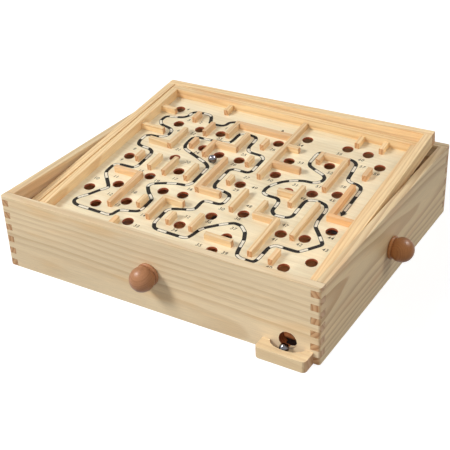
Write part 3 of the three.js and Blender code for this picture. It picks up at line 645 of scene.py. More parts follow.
def in_exit(face):
    """A face of the exit hole that gets painted shade: all but the upward-facing part on its
    right, which is left lit.
    """
    centre = face.calc_center_median()
    away = math.hypot(centre.x - EXIT_X, centre.z - EXIT_HEIGHT)
    if away > EXIT_REACH or centre.y > 0 or abs(face.normal.y) > 0.6:
        return False
    return face.normal.z < 0.5 or centre.x < EXIT_X


def second_finish(shape, chosen):
    """Gives the chosen faces the second finish of a piece."""
    for face in shape.faces:
        face.material_index = int(chosen(face))


print("exit hole", EXIT_X, "mm to the right and", EXIT_HEIGHT, "mm over the floor")

# %% Case walls
JOINT_EASE = 0.28
TOP_EASE = 0.7
TOP_LEVEL = 77.9     # what lies over this level and is longer than the next runs along the top
LONG_EDGE = 20
WALL_GRAIN = {  # the way it runs, the heart of the tree, the lean, and a place in the trunk
    "front_wall": ("x", (29, 33), (0.0, 0.028), 400),
    "back_wall": ("x", (-10, 45), (0.01, -0.03), 1300),
    "left_wall": ("y", (5, 40), (0.0, 0.03), 2100),
    "right_wall": ("y", (-11, 30), (0.03, 0.03), 2900),
}

for node, (along, heart, lean, start) in WALL_GRAIN.items():
    wall = level_copy(node)
    tops = ease(wall, TOP_EASE, 3, high_edges(TOP_LEVEL, LONG_EDGE))
    joints = ease(wall, JOINT_EASE, 1)
    print(node, "faces along the top", len(tops), "and along other edges", len(joints))
    mark(wall, "seam", [face for face in joints if on_joint(face)])
    lay_grain(wall, along, heart, lean, start)
    mark(wall, "inside_shade_mask", [face for face in wall.faces if looks_in(face)])
    # The shaded walls of the exit hole get the painted shade finish.
    second_finish(wall, in_exit)
    outside = "case_wood" if node == "front_wall" else "side_wood"
    even_light(set_down(wall, node + "_board", "case", [outside, "bore_painted_shade"],
                        stands_for=[node]))

# %% [markdown]
# ## Bottom, sloping board and tray
#
# These stay inside or under the case, apart from the tray, which is a small pine block with
# rounded corners and a round scoop. Its edges were sanded by hand, so its bevel is the widest.

# %% Bottom, sloping board and tray
SHEET_EASE = 0.2
TRAY_EASE = 0.6
SCOOP_HOLLOW = 2.8
SCOOP_HALF_WIDTH = 17
SCOOP_FRONT = -159.2
SCOOP_BACK = -150.1
SCOOP_FLOOR = 4.8
HAIR = 0.1

for node in ("base_panel", "return_ramp"):
    panel = level_copy(node)
    ease(panel, SHEET_EASE, 1)
    set_down(panel, node + "_sheet", "case", ["hardboard"], stands_for=[node])


def in_scoop(face):
    """A face of the scoop's wall, which gets painted shade and warm bounce light, over more of it
    on the left, where the tray's own shadow falls.
    """
    centre = face.calc_center_median()
    if abs(centre.x - EXIT_X) >= SCOOP_HALF_WIDTH or centre.z <= SCOOP_FLOOR + HAIR:
        return False
    steep = 0.9 if centre.x < EXIT_X else 0.6
    return SCOOP_FRONT < centre.y < SCOOP_BACK and face.normal.z < steep


def around_scoop_floor(edge):
    """An edge between the floor of the scoop and its wall."""
    ends = [vert.co for vert in edge.verts]
    on_floor = all(abs(end.z - SCOOP_FLOOR) < HAIR for end in ends)
    return on_floor and min(end.y for end in ends) < SCOOP_BACK - HAIR


tray = level_copy("catch_tray")
print("faces round the scoop's floor", len(ease(tray, SCOOP_HOLLOW, 5, around_scoop_floor)))
print("tray edge faces", len(ease(tray, TRAY_EASE, 3)))
lay_grain(tray, "x", (12, 40), (0.02, 0.03), 700)
# The scoop's wall gets painted shade, most of it on the left.
second_finish(tray, in_scoop)
even_light(set_down(tray, "tray_block", "case", ["tray_wood", "bore_painted_shade"],
                    stands_for=["catch_tray"]))

# %% [markdown]
# ## Rails of the two frames
#
# Both frames are four square rails, butted at the corners. On the inner frame some short maze
# walls grow out of a rail, with their grain along themselves, so the faces inside the play area
# get their own grain.

# %% Rails
RAIL_EASE = 0.7
PLAY_X = 142.0
PLAY_Y = 120.0
PLAY_EDGE = 0.3
STUB_BAND = 100      # past this, short walls stand on the front or back rail
STUB_TURN = -14.1    # where the angle on the right rail turns the corner
STUB_TONE = 0.65     # how warm its wood is
STUB_LEG = (112, 119)    # where its long leg stands


def stub_faces(shape):
    """Faces of the short walls inside the play area, sorted by the way they run."""
    found = {"x": [], "y": []}
    for face in shape.faces:
        centre = face.calc_center_median()
        if abs(centre.x) < PLAY_X - PLAY_EDGE and abs(centre.y) < PLAY_Y - PLAY_EDGE:
            on_leg = centre.x > STUB_LEG[0] and centre.y > STUB_TURN
            runs_back = abs(centre.y) > STUB_BAND or on_leg
            found["y" if runs_back and abs(centre.x) < STUB_LEG[1] else "x"].append(face)
    return found


def everything(shape):
    return shape.verts[:] + shape.edges[:] + shape.faces[:]


def make_rail(side, body, place):
    node = f"{body}_{side}_rail"
    rail = level_copy(node, place)
    ease(rail, RAIL_EASE, 2)
    bmesh.ops.bisect_plane(rail, geom=everything(rail), plane_co=(0, STUB_TURN, 0),
                           plane_no=(0, 1, 0))
    any_grain(rail, "x" if side in ("front", "back") else "y")
    if body == "inner_frame":
        for along, faces in stub_faces(rail).items():
            any_grain(rail, along, faces, STUB_TONE if side == "right" else 0.0)
    even_light(set_down(rail, node + "_wood", body, ["frame_wood"], place, [node]))


for side in ("front", "back", "left", "right"):
    make_rail(side, "outer_frame", OUTER_PLACE)
    make_rail(side, "inner_frame", INNER_PLACE)
print("eight rails")

# %% [markdown]
# ## Maze board
#
# The board is a thin sheet with forty holes. The holes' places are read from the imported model:
# what is left of a copy without its flat faces is the outline and one short tube for each hole.
# A plate is made again with finer holes, cut by one Boolean with forty round cutters, and the
# rim of each hole is eased. The walls of the holes and the underside stay bare hardboard.

# %% Holes of the board
HOLE_RADIUS = 5.75
HOLE_STEPS = 48


def islands(shape):
    """Groups of vertices that hang together."""
    left = set(shape.verts)
    groups = []
    while left:
        group, waiting = set(), [left.pop()]
        while waiting:
            vert = waiting.pop()
            group.add(vert)
            near = {edge.other_vert(vert) for edge in vert.link_edges} & left
            left -= near
            waiting.extend(near)
        groups.append(group)
    return groups


def find_holes():
    bare = level_copy("play_board", INNER_PLACE)
    low, high = corners(bare)
    flat = [face for face in bare.faces if abs(face.normal.z) > 0.5]
    bmesh.ops.delete(bare, geom=flat, context="FACES")
    centres = []
    for group in islands(bare):
        xs = [vert.co.x for vert in group]
        ys = [vert.co.y for vert in group]
        if max(xs) - min(xs) < 3 * HOLE_RADIUS:
            centres.append(((max(xs) + min(xs)) / 2, (max(ys) + min(ys)) / 2))
    bare.free()
    return low, high, centres


BOARD_LOW, BOARD_HIGH, HOLES = find_holes()
BOARD_TOP = BOARD_HIGH.z
print(len(HOLES), "holes, board top at", round(BOARD_TOP, 2), "mm under the axes")

# %% Board plate
RIM_EASE = 0.25
LONGEST_RIM_EDGE = 2


def block(low, high):
    """A box between two corners."""
    shape = bmesh.new()
    bmesh.ops.create_cube(shape, size=1)
    bmesh.ops.scale(shape, vec=[b - a for a, b in zip(low, high)], verts=shape.verts)
    bmesh.ops.translate(shape, vec=[(a + b) / 2 for a, b in zip(low, high)], verts=shape.verts)
    return shape


def drilled_plate():
    thickness = BOARD_HIGH.z - BOARD_LOW.z
    drills = bmesh.new()
    for hole in HOLES:
        place = Matrix.Translation((*hole, BOARD_TOP - thickness / 2))
        bmesh.ops.create_cone(drills, cap_ends=True, segments=HOLE_STEPS, radius1=HOLE_RADIUS,
                              radius2=HOLE_RADIUS, depth=3 * thickness, matrix=place)
    plate = add_object("plate", mesh_from(block(BOARD_LOW, BOARD_HIGH), "plate"))
    cutter = add_object("drills", mesh_from(drills, "drills"))
    cut = plate.modifiers.new("drill", "BOOLEAN")
    cut.object = cutter
    cut.operation = "DIFFERENCE"
    bpy.context.view_layer.update()
    ready = plate.evaluated_get(bpy.context.evaluated_depsgraph_get())
    drilled = bmesh.new()
    drilled.from_mesh(ready.to_mesh())
    for used in (plate, cutter):
        bpy.data.objects.remove(used)
    return drilled


board = drilled_plate()
rims = high_edges(BOARD_TOP - 0.01, longest=LONGEST_RIM_EDGE)
print("rim faces", len(ease(board, RIM_EASE, 2, rims)))
lay_grain(board, "x", (30, 60), (0.01, 0.02), 900)
second_finish(board, lambda face: face.normal.z <= 0.6)
set_down(board, "maze_board", "inner_frame", ["board_face", "hardboard_edge"], INNER_PLACE,
         ["play_board"])

# %% [markdown]
# ## Maze strips
#
# The maze is built of strips of pine, 5 mm thick, glued to the board on edge. Where strips meet,
# one runs through and the other butts against it, which leaves a fine seam. The table gives
# their centre lines as shares of the half size of the play area, the same as in the packed
# model, and each strip gets grain of its own.

# %% Table of the maze strips
MAZE_THICKNESS = 5.0
MAZE_HEIGHT = 7.0
MAZE_EASE = 0.45
SEAM = 0.04
MAZE_TONES = (0.0, 0.0, 0.1, 0.25, 0.5)
MAZE_SHARES = [
    [(-0.673, 0.667, -0.673, 0.783)],
    [(-0.496, 0.508, -0.496, 0.675)],
    [(-0.651, 0.229, -0.651, 0.5), (-0.838, 0.229, -0.651, 0.229)],
    [(-0.5, 0.283, -0.5, 0.4)],
    [(-0.352, 0.217, -0.352, 0.404), (-0.352, 0.404, -0.173, 0.404),
     (-0.173, 0.404, -0.173, 0.642)],
    [(-0.32, 0.558, -0.32, 0.762), (-0.32, 0.762, 0.158, 0.762), (0.158, 0.117, 0.158, 0.996),
     (0.158, 0.613, 0.268, 0.613), (0.158, 0.338, 0.394, 0.338)],
    [(0.004, 0.233, 0.004, 0.342)],
    [(-0.004, 0.517, -0.004, 0.633)],
    [(-0.004, -0.067, -0.004, 0.025)],
    [(0.454, 0.517, 0.454, 0.621), (0.454, 0.621, 0.644, 0.621), (0.644, 0.175, 0.644, 0.621)],
    [(0.838, 0.458, 0.838, 0.592)],
    [(0.687, -0.492, 0.687, -0.025)],
    [(0.518, -0.8, 0.518, -0.358), (0.356, -0.358, 0.518, -0.358),
     (0.356, -0.358, 0.356, -0.175)],
    [(0.169, -0.375, 0.169, -0.1)],
    [(0.511, -0.125, 0.511, 0.133), (0.366, 0.002, 0.511, 0.002)],
    [(-0.634, -0.733, -0.634, -0.279), (-0.852, -0.279, -0.634, -0.279)],
    [(-0.778, -0.083, -0.778, 0.025)],
    [(-0.63, -0.15, -0.63, 0.042)],
    [(-0.496, -0.167, -0.496, 0.058)],
    [(-0.313, -0.158, -0.313, 0.042)],
    [(-0.165, -0.237, -0.165, 0.233), (-0.165, -0.237, 0.021, -0.237)],
    [(-0.306, -0.471, -0.155, -0.471), (-0.306, -0.742, -0.306, -0.471)],
    [(-0.44, -0.642, -0.44, -0.517)],
    [(-0.148, -0.733, -0.148, -0.617)],
    [(0.035, -0.733, 0.035, -0.542)],
    [(0.158, -0.746, 0.366, -0.746)],
    [(0.676, -0.817, 0.676, -0.675)],
]
print(len(MAZE_SHARES), "maze pieces,", sum(len(row) for row in MAZE_SHARES), "strips")

# %% Maze strips
GLUE_SINK = 0.02
SHARP_FOOT = 1       # edges up to this height over the foot stay sharp


def end_change(point, index, row):
    """How far a strip's end moves at a meeting with another strip of its row."""
    half = MAZE_THICKNESS / 2
    for other, (x0, y0, x1, y1) in enumerate(row):
        if other == index:
            continue
        if point in ((x0, y0), (x1, y1)):
            return half if index < other else -half - SEAM
        if (x0 == x1 == point[0] and y0 < point[1] < y1
                or y0 == y1 == point[1] and x0 < point[0] < x1):
            return -half - SEAM
    return 0.0


def pour(mesh, shape):
    """Adds a mesh to a shape and lets the mesh go."""
    shape.from_mesh(mesh)
    bpy.data.meshes.remove(mesh)


def add_strip(shape, index, row):
    x0, y0, x1, y1 = row[index]
    along_x = y0 == y1
    growth = [end_change(point, index, row) for point in ((x0, y0), (x1, y1))]
    halves = [MAZE_THICKNESS / 2] * 2
    (west, east), (south, north) = (growth, halves) if along_x else (halves, growth)
    foot = BOARD_TOP - GLUE_SINK
    strip = block((x0 * PLAY_X - west, y0 * PLAY_Y - south, foot),
                  (x1 * PLAY_X + east, y1 * PLAY_Y + north, BOARD_TOP + MAZE_HEIGHT))
    ease(strip, MAZE_EASE, 2,
         lambda edge: max(vert.co.z for vert in edge.verts) > foot + SHARP_FOOT)
    any_grain(strip, "x" if along_x else "y", tone=chance.choice(MAZE_TONES))
    pour(mesh_from(strip, "strip"), shape)


for number, row in enumerate(MAZE_SHARES, 1):
    maze_piece = bmesh.new()
    for index in range(len(row)):
        add_strip(maze_piece, index, row)
    even_light(set_down(maze_piece, f"maze_strip_{number:02d}", "inner_frame", ["maze_wood"],
                        INNER_PLACE, [f"maze_wall_{number:02d}"]))
print("maze strips set down")

# %% [markdown]
# ## Printed line
#
# The way through the maze is screen printed: a black line with white dashes on it. In the model
# ink is a very thin sheet just over the board. A short edge is extruded along the rounded route,
# which gives a ribbon, and the white dashes are shorter and narrower ribbons a hair higher.

# %% Table of the printed line
ROUTE = [  # corners of the line, in millimetres from the middle of the board
    (2, 99), (-55, 99), (-60, 95), (-60, 91), (-63, 87), (-70, 86), (-79, 86), (-80, 90),
    (-84, 98), (-88, 101), (-97, 101), (-105, 100), (-108.5, 97), (-108.5, 90), (-112, 85),
    (-120, 82), (-130, 80), (-132.5, 76), (-132.5, 68), (-127, 62), (-116, 60), (-110, 57),
    (-108.5, 52), (-108.5, 46), (-112, 42), (-117, 40), (-127, 39), (-131, 36), (-131, 24),
    (-128, 18), (-120, 16.5), (-112, 16), (-106, 12), (-105, 6), (-105, -16), (-108, -21),
    (-124, -21.5), (-130, -25), (-130, -38), (-127, -43), (-112, -59), (-111, -62),
    (-117, -70), (-122, -79), (-129, -88), (-130, -94), (-126, -98), (-120, -99),
    (-84, -99), (-80, -96), (-79, -90), (-76, -87), (-68, -85), (-60, -82), (-58, -78),
    (-58, -60), (-62, -56), (-68, -51), (-74, -44), (-75, -39), (-70, -35), (-60, -30),
    (-50, -26.5), (-40, -25), (-36, -20), (-36, 10), (-38, 14), (-44, 18), (-76, 31),
    (-80, 36), (-81, 42), (-81, 52), (-78, 56), (-60, 57), (-48, 59), (-40, 60), (-38, 64),
    (-37.5, 78), (-36, 82), (-28, 83), (-19, 82), (-16, 78), (-16, 62), (-13, 55),
    (-8, 53.5), (4, 53), (9, 49), (9, 24), (6, 20), (-10, 20), (-14, 16), (-14, -12),
    (-11, -17), (0, -18), (8, -20), (10.5, -24), (10.5, -35), (7, -38.5), (-8, -39),
    (-10.5, -42), (-10.5, -55), (-14, -58), (-28, -63), (-34, -66), (-35, -71), (-35, -90),
    (-31, -97), (-25, -98), (3, -98), (7, -96), (9, -90), (10.5, -82), (14, -76), (27, -64),
    (36, -58), (44, -59), (52, -66), (57, -77), (59, -90), (61, -98), (66, -101), (80, -101),
    (82, -96), (83, -76), (87, -71), (110, -71), (118, -62), (126, -52), (118, -42),
    (108, -31), (106, -22), (106, -3), (102, 4), (93, 6.5), (84, 5), (81, 0), (81, -26),
    (77, -30), (64, -31), (59, -26), (58.5, -11), (55, -6), (43, -6), (37, -4), (36, 4),
    (39, 12), (46, 21), (56, 28), (65, 31), (76, 32), (81, 37), (82, 43), (78, 48), (66, 53),
    (58, 57), (55.5, 62), (55.5, 80), (58, 84), (92, 84), (97, 82), (100.5, 78), (103, 52),
    (106, 48), (116, 47), (121, 44), (122.5, 38), (122.5, -1),
]
DASHES = [  # middle and length of each white dash
    (-90, 101.5, 11), (-109, 93.5, 5), (-123.5, 81.5, 9), (-132, 65, 8), (-110.5, 56, 7),
    (-111, 42, 10), (-131.3, 32, 8), (-117.5, 16.3, 8), (-104.5, 3, 11), (-105.5, -17.5, 6),
    (-127.5, -23.5, 7), (-126, -44.5, 10), (-113.5, -64, 9), (-126, -84, 11),
    (-114, -99, 12), (-88, -99, 10), (-73, -86.5, 9), (-58, -76.5, 6), (-61.5, -56, 9),
    (-74, -39, 8), (-55, -28.5, 10), (-38, -21.5, 9), (-36, 4.5, 10), (-49.5, 21, 10),
    (-72.5, 30.5, 10), (-64.5, 57, 8), (-55, 58, 4), (-43, 59.5, 9), (-33, 83, 9),
    (-16.5, 74.5, 8), (-13, 55.5, 8), (7.5, 51, 8), (9, 30, 9), (-6, 20, 7), (-14, 3, 12),
    (-4.5, -18, 9), (10.5, -29.5, 10), (-4.5, -39, 9), (-13.5, -58.5, 8), (-34, -68, 8),
    (-35, -86.5, 9), (-21, -98, 10), (3, -98, 9), (11.5, -79.5, 6), (26.5, -63, 9),
    (47.5, -62.5, 10), (58, -82.5, 10), (66, -101.3, 11), (83, -91.5, 9), (88, -71, 13),
    (114.5, -67, 8), (121, -44.5, 7), (107, -26, 10), (106, -5, 9), (87.5, 6, 10),
    (81, -16, 9), (70, -30.5, 10), (58.5, -15.5, 9), (39.5, -5, 7), (39.5, 13, 8),
    (55, 27.5, 9), (78, 33, 8), (72, 50.5, 12), (55.5, 72, 18), (88, 84, 6),
    (101.5, 70, 10), (106, 48, 9), (122.5, 33.5, 10), (122.5, 9, 13),
]
print(len(ROUTE), "corners and", len(DASHES), "white dashes")

# %% Route of the printed line
ROUND_REACH = 3.0
ROUND_STEPS = 4
SAME_POINT = 0.001


def rounded(points):
    """The line with each corner rounded by a short curve."""
    line = [points[0]]
    for before, corner, after in zip(points, points[1:], points[2:]):
        ways = before - corner, after - corner
        start, end = [corner + way.normalized() * min(ROUND_REACH, way.length / 2)
                      for way in ways]
        for step in range(ROUND_STEPS + 1):
            t = step / ROUND_STEPS
            line.append((1 - t) ** 2 * start + 2 * t * (1 - t) * corner + t * t * end)
    line.append(points[-1])
    return [a for a, b in zip(line, line[1:]) if (a - b).length > SAME_POINT] + [line[-1]]


route = rounded([Vector(point) for point in ROUTE])
lengths = [0.0]
for first, second in zip(route, route[1:]):
    lengths.append(lengths[-1] + (second - first).length)
print("the line is", round(lengths[-1]), "mm long")

# %% Stretches of the route


def point_at(wanted):
    """The point of the route at a length along it."""
    for index in range(1, len(route)):
        if lengths[index] >= wanted:
            share = (wanted - lengths[index - 1]) / (lengths[index] - lengths[index - 1])
            return route[index - 1].lerp(route[index], share)
    return route[-1]


def stretch_round(place, length):
    """The stretch of the route of that length whose middle is nearest to a place."""
    middle, least = 0.0, math.inf
    for index in range(1, len(route)):
        first, side = route[index - 1], route[index] - route[index - 1]
        share = min(1.0, max(0.0, (place - first).dot(side) / side.length_squared))
        gap = (first + side * share - place).length
        if gap < least:
            middle, least = lengths[index - 1] + share * side.length, gap
    start, end = middle - length / 2, middle + length / 2
    inner = [point for point, reached in zip(route, lengths) if start < reached < end]
    return [point_at(start), *inner, point_at(end)]


print("half way, the line is at", [round(part) for part in point_at(lengths[-1] / 2)])

# %% Ribbons of ink
LINE_WIDTH = 4.0
DASH_WIDTH = 2.7
INK_LIFT = 0.04


def add_ribbon(shape, line, width, height):
    """Extrudes a short edge along the line."""
    edge = None
    for index, point in enumerate(line):
        way = line[min(index + 1, len(line) - 1)] - line[max(index - 1, 0)]
        side = Vector((-way.y, way.x)).normalized() * width / 2
        ends = [Vector((*(point + side), height)), Vector((*(point - side), height))]
        if edge is None:
            edge = shape.edges.new([shape.verts.new(place) for place in ends])
            left = edge.verts[0]
            continue
        grown = bmesh.ops.extrude_edge_only(shape, edges=[edge])["geom"]
        new_edge = [item for item in grown if isinstance(item, bmesh.types.BMEdge)
                    and not set(item.verts) & set(edge.verts)][0]
        by_left = {link.other_vert(left) for link in left.link_edges}
        first = [vert for vert in new_edge.verts if vert in by_left][0]
        second = new_edge.other_vert(first)
        first.co, second.co = ends
        edge, left = new_edge, first


def face_up(shape):
    bmesh.ops.recalc_face_normals(shape, faces=shape.faces)
    shape.normal_update()
    down = [face for face in shape.faces if face.normal.z < 0]
    bmesh.ops.reverse_faces(shape, faces=down)


black_line = bmesh.new()
add_ribbon(black_line, route, LINE_WIDTH, BOARD_TOP + INK_LIFT)
white_dashes = bmesh.new()
for x, y, length in DASHES:
    dash = stretch_round(Vector((x, y)), length)
    add_ribbon(white_dashes, dash, DASH_WIDTH, BOARD_TOP + 2 * INK_LIFT)
print("ribbon faces", len(black_line.faces), len(white_dashes.faces))

# %% [markdown]
# ## Marks and numbers
#
# A triangle shows the start and an arrowhead the end. Small plain numbers stand beside the
# holes. Text is made as a text object, turned into a mesh, and only then moved to its place, so
# that all the numbers end up in one flat mesh.

# %% Table of the numbers
NUMBERS = [  # middle of each number, and the number
    (-57, 84, 1), (-89, 83, 2), (-104, 82, 3), (-117, 101, 4), (-103, 59, 6), (-127, 9, 8),
    (-128, -14, 9), (-132, -53, 10), (-115, -42, 11), (-103, -70, 12), (-85, -82, 13),
    (-52, -85, 14), (-97, -23, 15), (-33, -29, 16), (-57, -20, 17), (-82, -57, 18),
    (-72, -31, 19), (-61, 11, 20), (-83, 27, 21), (-85, 60, 22), (-53, 63, 23),
    (-62, 30, 24), (-14, 47, 25), (9, 68, 26), (9, 12, 27), (-15, 27, 28), (10, -11, 29),
    (13, -44, 30), (60, 21, 31), (-11, -69, 32), (-48, -102, 33), (-11, -92, 34),
    (22, -101, 35), (12, -67, 36), (39, -66, 37), (35, -51, 38), (50, -101, 39),
    (96, -101, 40), (82, -64, 41), (106, -61, 42), (131, -58, 43), (128, -40, 44),
    (104, 13, 45), (77, 4, 46), (81, -41, 47), (35, -29, 48), (25, 0, 49), (33, 18, 50),
    (82, 28, 51), (82, 54, 52), (47, 58, 53), (32, 87, 54), (76, 89, 55), (107, 77, 57),
    (104, 38, 58), (125, 71, 59), (101, 88, 60),
]
print(len(NUMBERS), "numbers")

# %% Marks and numbers
TEXT_STYLE = {"size": 5.7, "shear": 0.15, "offset": 0.06, "space_character": 1.1,
              "align_x": "CENTER", "align_y": "CENTER"}


def add_number(shape, x, y, number):
    text = bpy.data.curves.new("number", "FONT")
    text.body = str(number)
    for key, value in TEXT_STYLE.items():
        setattr(text, key, value)
    holder = add_object("number", text)
    bpy.context.view_layer.update()
    ready = holder.evaluated_get(bpy.context.evaluated_depsgraph_get())
    mesh = bpy.data.meshes.new_from_object(ready)
    mesh.transform(Matrix.Translation((x, y, BOARD_TOP + INK_LIFT)))
    pour(mesh, shape)
    bpy.data.objects.remove(holder)
    bpy.data.curves.remove(text)


def add_triangle(shape, place, size, turn):
    spot = (Matrix.Translation((*place, BOARD_TOP + 2 * INK_LIFT))
            @ Matrix.Rotation(turn, 4, "Z") @ Matrix.Diagonal((*size, 1, 1)))
    bmesh.ops.create_circle(shape, cap_ends=True, segments=3, radius=1, matrix=spot)


marks = bmesh.new()
add_triangle(marks, (2, 104), (2.3, 2.6), 0)
add_triangle(marks, (122.7, -2.2), (4.4, 4.2), math.pi)
numbers = bmesh.new()
for x, y, number in NUMBERS:
    add_number(numbers, x, y, number)
print("faces of the numbers", len(numbers.faces))

# %% [markdown]
# ## Inks
#
# Printed ink is never quite even: it is a little thinner in places and has a soft sheen. Two
# inks are enough, black and a cream white, and the small numbers are a worn grey black.

# %% Inks
INKS = {  # worn and full tint, and roughness
    "black_ink": (colour(40, 34, 26), colour(22, 18, 13), 0.5),
    "white_ink": (colour(224, 214, 192), colour(238, 230, 212), 0.5),
    "grey_ink": (colour(96, 84, 64), colour(54, 47, 36), 0.55),
}
PRINT = {"line": (black_line, "black_ink"), "dashes": (white_dashes, "white_ink"),
         "marks": (marks, "black_ink"), "numbers": (numbers, "grey_ink")}


def mix_ink(name, worn, full, roughness):
    tree, shader = new_material(name)
    wear = cloud(tree, object_place(tree), (450, 450, 450), 4.0, 0.7)
    feed(tree, shader, {
        "Base Color": blend(tree, spread(tree, wear, 0.35, 0.7), full, worn),
        "Roughness": spread(tree, wear, 0.3, 0.7, roughness, roughness + 0.2),
        "Specular IOR Level": 0.2})


for name, ink in INKS.items():
    mix_ink(name, *ink)
for name, (shape, ink) in PRINT.items():
    face_up(shape)
    set_down(shape, "printed_" + name, "inner_frame", [ink], INNER_PLACE)
print("the print lies", INK_LIFT, "mm over the board")

# %% [markdown]
# ## Turned pieces
#
# Knobs come off a lathe, and so do balls, shafts, collars and pins: each is half an outline
# turned once round an axis. In bmesh that is a chain of vertices and one full `spin` with
# `use_merge`, which closes the seam. The points on the axis are merged afterwards.

# %% Helper for turned pieces
ALONG_X = Matrix.Rotation(math.pi / 2, 4, "Y")
ALONG_Y = Matrix.Rotation(math.pi / 2, 4, "X")
AXIS_WELD = 0.001
FRONT_AXIS = Matrix.Translation((0, -150, 40.5)) @ ALONG_Y
RIGHT_AXIS = Matrix.Translation((172.5, 0, 36)) @ ALONG_X


def turned(profile, steps=64):
    """Turns a half outline of (radius, height) points once round Z."""
    shape = bmesh.new()
    verts = [shape.verts.new((radius, 0, height)) for radius, height in profile]
    for first, second in zip(verts, verts[1:]):
        shape.edges.new((first, second))
    bmesh.ops.spin(shape, geom=everything(shape), cent=(0, 0, 0), axis=(0, 0, 1),
                   angle=2 * math.pi, steps=steps, use_merge=True, use_duplicate=False)
    bmesh.ops.remove_doubles(shape, verts=shape.verts, dist=AXIS_WELD)
    bmesh.ops.recalc_face_normals(shape, faces=shape.faces)
    return shape


def arc(centre, radius, first, last, steps):
    """Points of a round part of an outline; angles from the radius direction, in degrees."""
    angles = [math.radians(first + (last - first) * step / steps) for step in range(steps + 1)]
    return [(centre[0] + radius * math.cos(angle), centre[1] + radius * math.sin(angle))
            for angle in angles]


print("front shaft", FRONT_AXIS.translation.z, "mm and right shaft", RIGHT_AXIS.translation.z,
      "mm over the floor")

# %% [markdown]
# ## Knobs
#
# Each knob is a ball on a thin flange, turned from a darker, reddish wood and lacquered. The
# wood is dense, so its rings are close and faint and its pores are short dark dashes. A coat
# on the shader is the lacquer.

# %% Knobs
BALL_CENTRE = 10.7
KNOB_RADIUS = 11.95
KNOB_NECK = 4.05
FLANGE_RADIUS = 10.5
FLANGE_ROUND = 0.95
FLANGE_FOOT = 0.42
KNOBS = {  # axis, place in the trunk, and as for WOODS above
    "front": (FRONT_AXIS, 120, ((172, 122, 88), (130, 84, 56), (178, 118, 88), 1.7, 0.3, 0.3)),
    "right": (RIGHT_AXIS, 820, ((162, 108, 66), (116, 70, 38), (166, 104, 68), 1.7, 0.3, 0.3)),
}


def knob_outline():
    start = math.degrees(math.asin((KNOB_NECK - BALL_CENTRE) / KNOB_RADIUS))
    return [(0, FLANGE_FOOT), (FLANGE_RADIUS, FLANGE_FOOT),
            *arc((FLANGE_RADIUS, 1.4), FLANGE_ROUND, -90, 0, 5),
            *arc((FLANGE_RADIUS, 2.6), FLANGE_ROUND, 0, 85, 5), (9.9, 3.7), (9.55, 3.85),
            *arc((0, BALL_CENTRE), KNOB_RADIUS, start, 90, 28)]


def paint_knob(name, wood):
    tree, shader = new_material(name)
    place = attribute(tree, "grain_place", "Vector")
    pine = use_pine(tree, place, wood)
    pores = spread(tree, cloud(tree, place, (0.35, 4.0, 4.0)), 0.62, 0.78, 0.0, 0.4)
    feed(tree, shader, {
        "Base Color": blend(tree, pores, pine["Color"], colour(*wood[1])),
        "Roughness": pine["Roughness"], "Specular IOR Level": 0.05, "Coat Weight": 0.35,
        "Coat Roughness": 0.38})


for side, (axis, start, wood) in KNOBS.items():
    paint_knob(side + "_knob_wood", wood)
    knob = turned(knob_outline(), steps=72)
    lay_grain(knob, "x", (8, 24), (0.05, 0.02), start)
    set_down(knob, side + "_knob_turned", side + "_control", [side + "_knob_wood"], axis,
             [side + "_knob"])
print("knobs", round(2 * KNOB_RADIUS, 1), "mm across")

# %% [markdown]
# ## Steel
#
# The shafts, their collars and the pivot pins are drawn steel, a little dull and faintly mottled.
# The balls are polished: what they show is the room and the wood round them, and a faint film of
# fingerprints breaks their gloss.

# %% Steel finishes


def paint_steel(name, dark, light, scale, smooth, rough):
    tree, shader = new_material(name)
    film = cloud(tree, object_place(tree), (scale, scale, scale), 3.0, 0.6)
    feed(tree, shader, {
        "Metallic": 1.0, "Base Color": blend(tree, film, dark, light),
        "Roughness": spread(tree, film, 0.3, 0.75, smooth, rough)})


paint_steel("drawn_steel", colour(176, 178, 182), colour(208, 210, 214), 900, 0.28, 0.42)
paint_steel("polished_steel", colour(96, 94, 98), colour(130, 128, 132), 220, 0.03, 0.09)
print("two steels")

# %% Balls
BALL_RADIUS = 4.5

for node in ("board_ball", "tray_ball"):
    low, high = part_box(node)
    middle = (low + high) / 2 / MM
    ball = turned(arc((0, 0), BALL_RADIUS, -90, 90, 32))
    set_down(ball, node + "_polished", node, ["polished_steel"], Matrix.Translation(middle),
             [node])
    print(node, [round(part, 1) for part in middle])

# %% [markdown]
# ## Shafts, collars and pins
#
# These are bars with a small chamfer at each end, and rings. Their lengths are those of the
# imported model, read from its boxes, so the helper below takes a node and turns a finer bar of
# the same length along the same axis.

# %% Shafts, collars and pins
SHAFT = (2.0, 0.3, 0)    # radius, chamfer and bore
COLLAR = (5.0, 0.4, 2.05)
PIN = (1.5, 0.25, 0)
BARS = {  # body, place of the axis, and size
    "front_shaft": ("front_control", FRONT_AXIS, SHAFT),
    "right_shaft": ("right_control", RIGHT_AXIS, SHAFT),
    "front_collar": ("front_control", FRONT_AXIS, COLLAR),
    "right_collar": ("right_control", RIGHT_AXIS, COLLAR),
    "left_pivot_pin": ("case", AXES_PLACE @ ALONG_X, PIN),
    "right_pivot_pin": ("case", AXES_PLACE @ ALONG_X, PIN),
    "front_pivot_pin": ("outer_frame", OUTER_PLACE @ ALONG_Y, PIN),
    "back_pivot_pin": ("outer_frame", OUTER_PLACE @ ALONG_Y, PIN),
}


def bar_outline(low, high, radius, chamfer, bore):
    """Half the outline of a bar; with a bore it goes round to make a ring."""
    back = [(bore, high), (bore, low)] if bore else [(0, high)]
    return [(bore, low), (radius - chamfer, low), (radius, low + chamfer),
            (radius, high - chamfer), (radius - chamfer, high), *back]


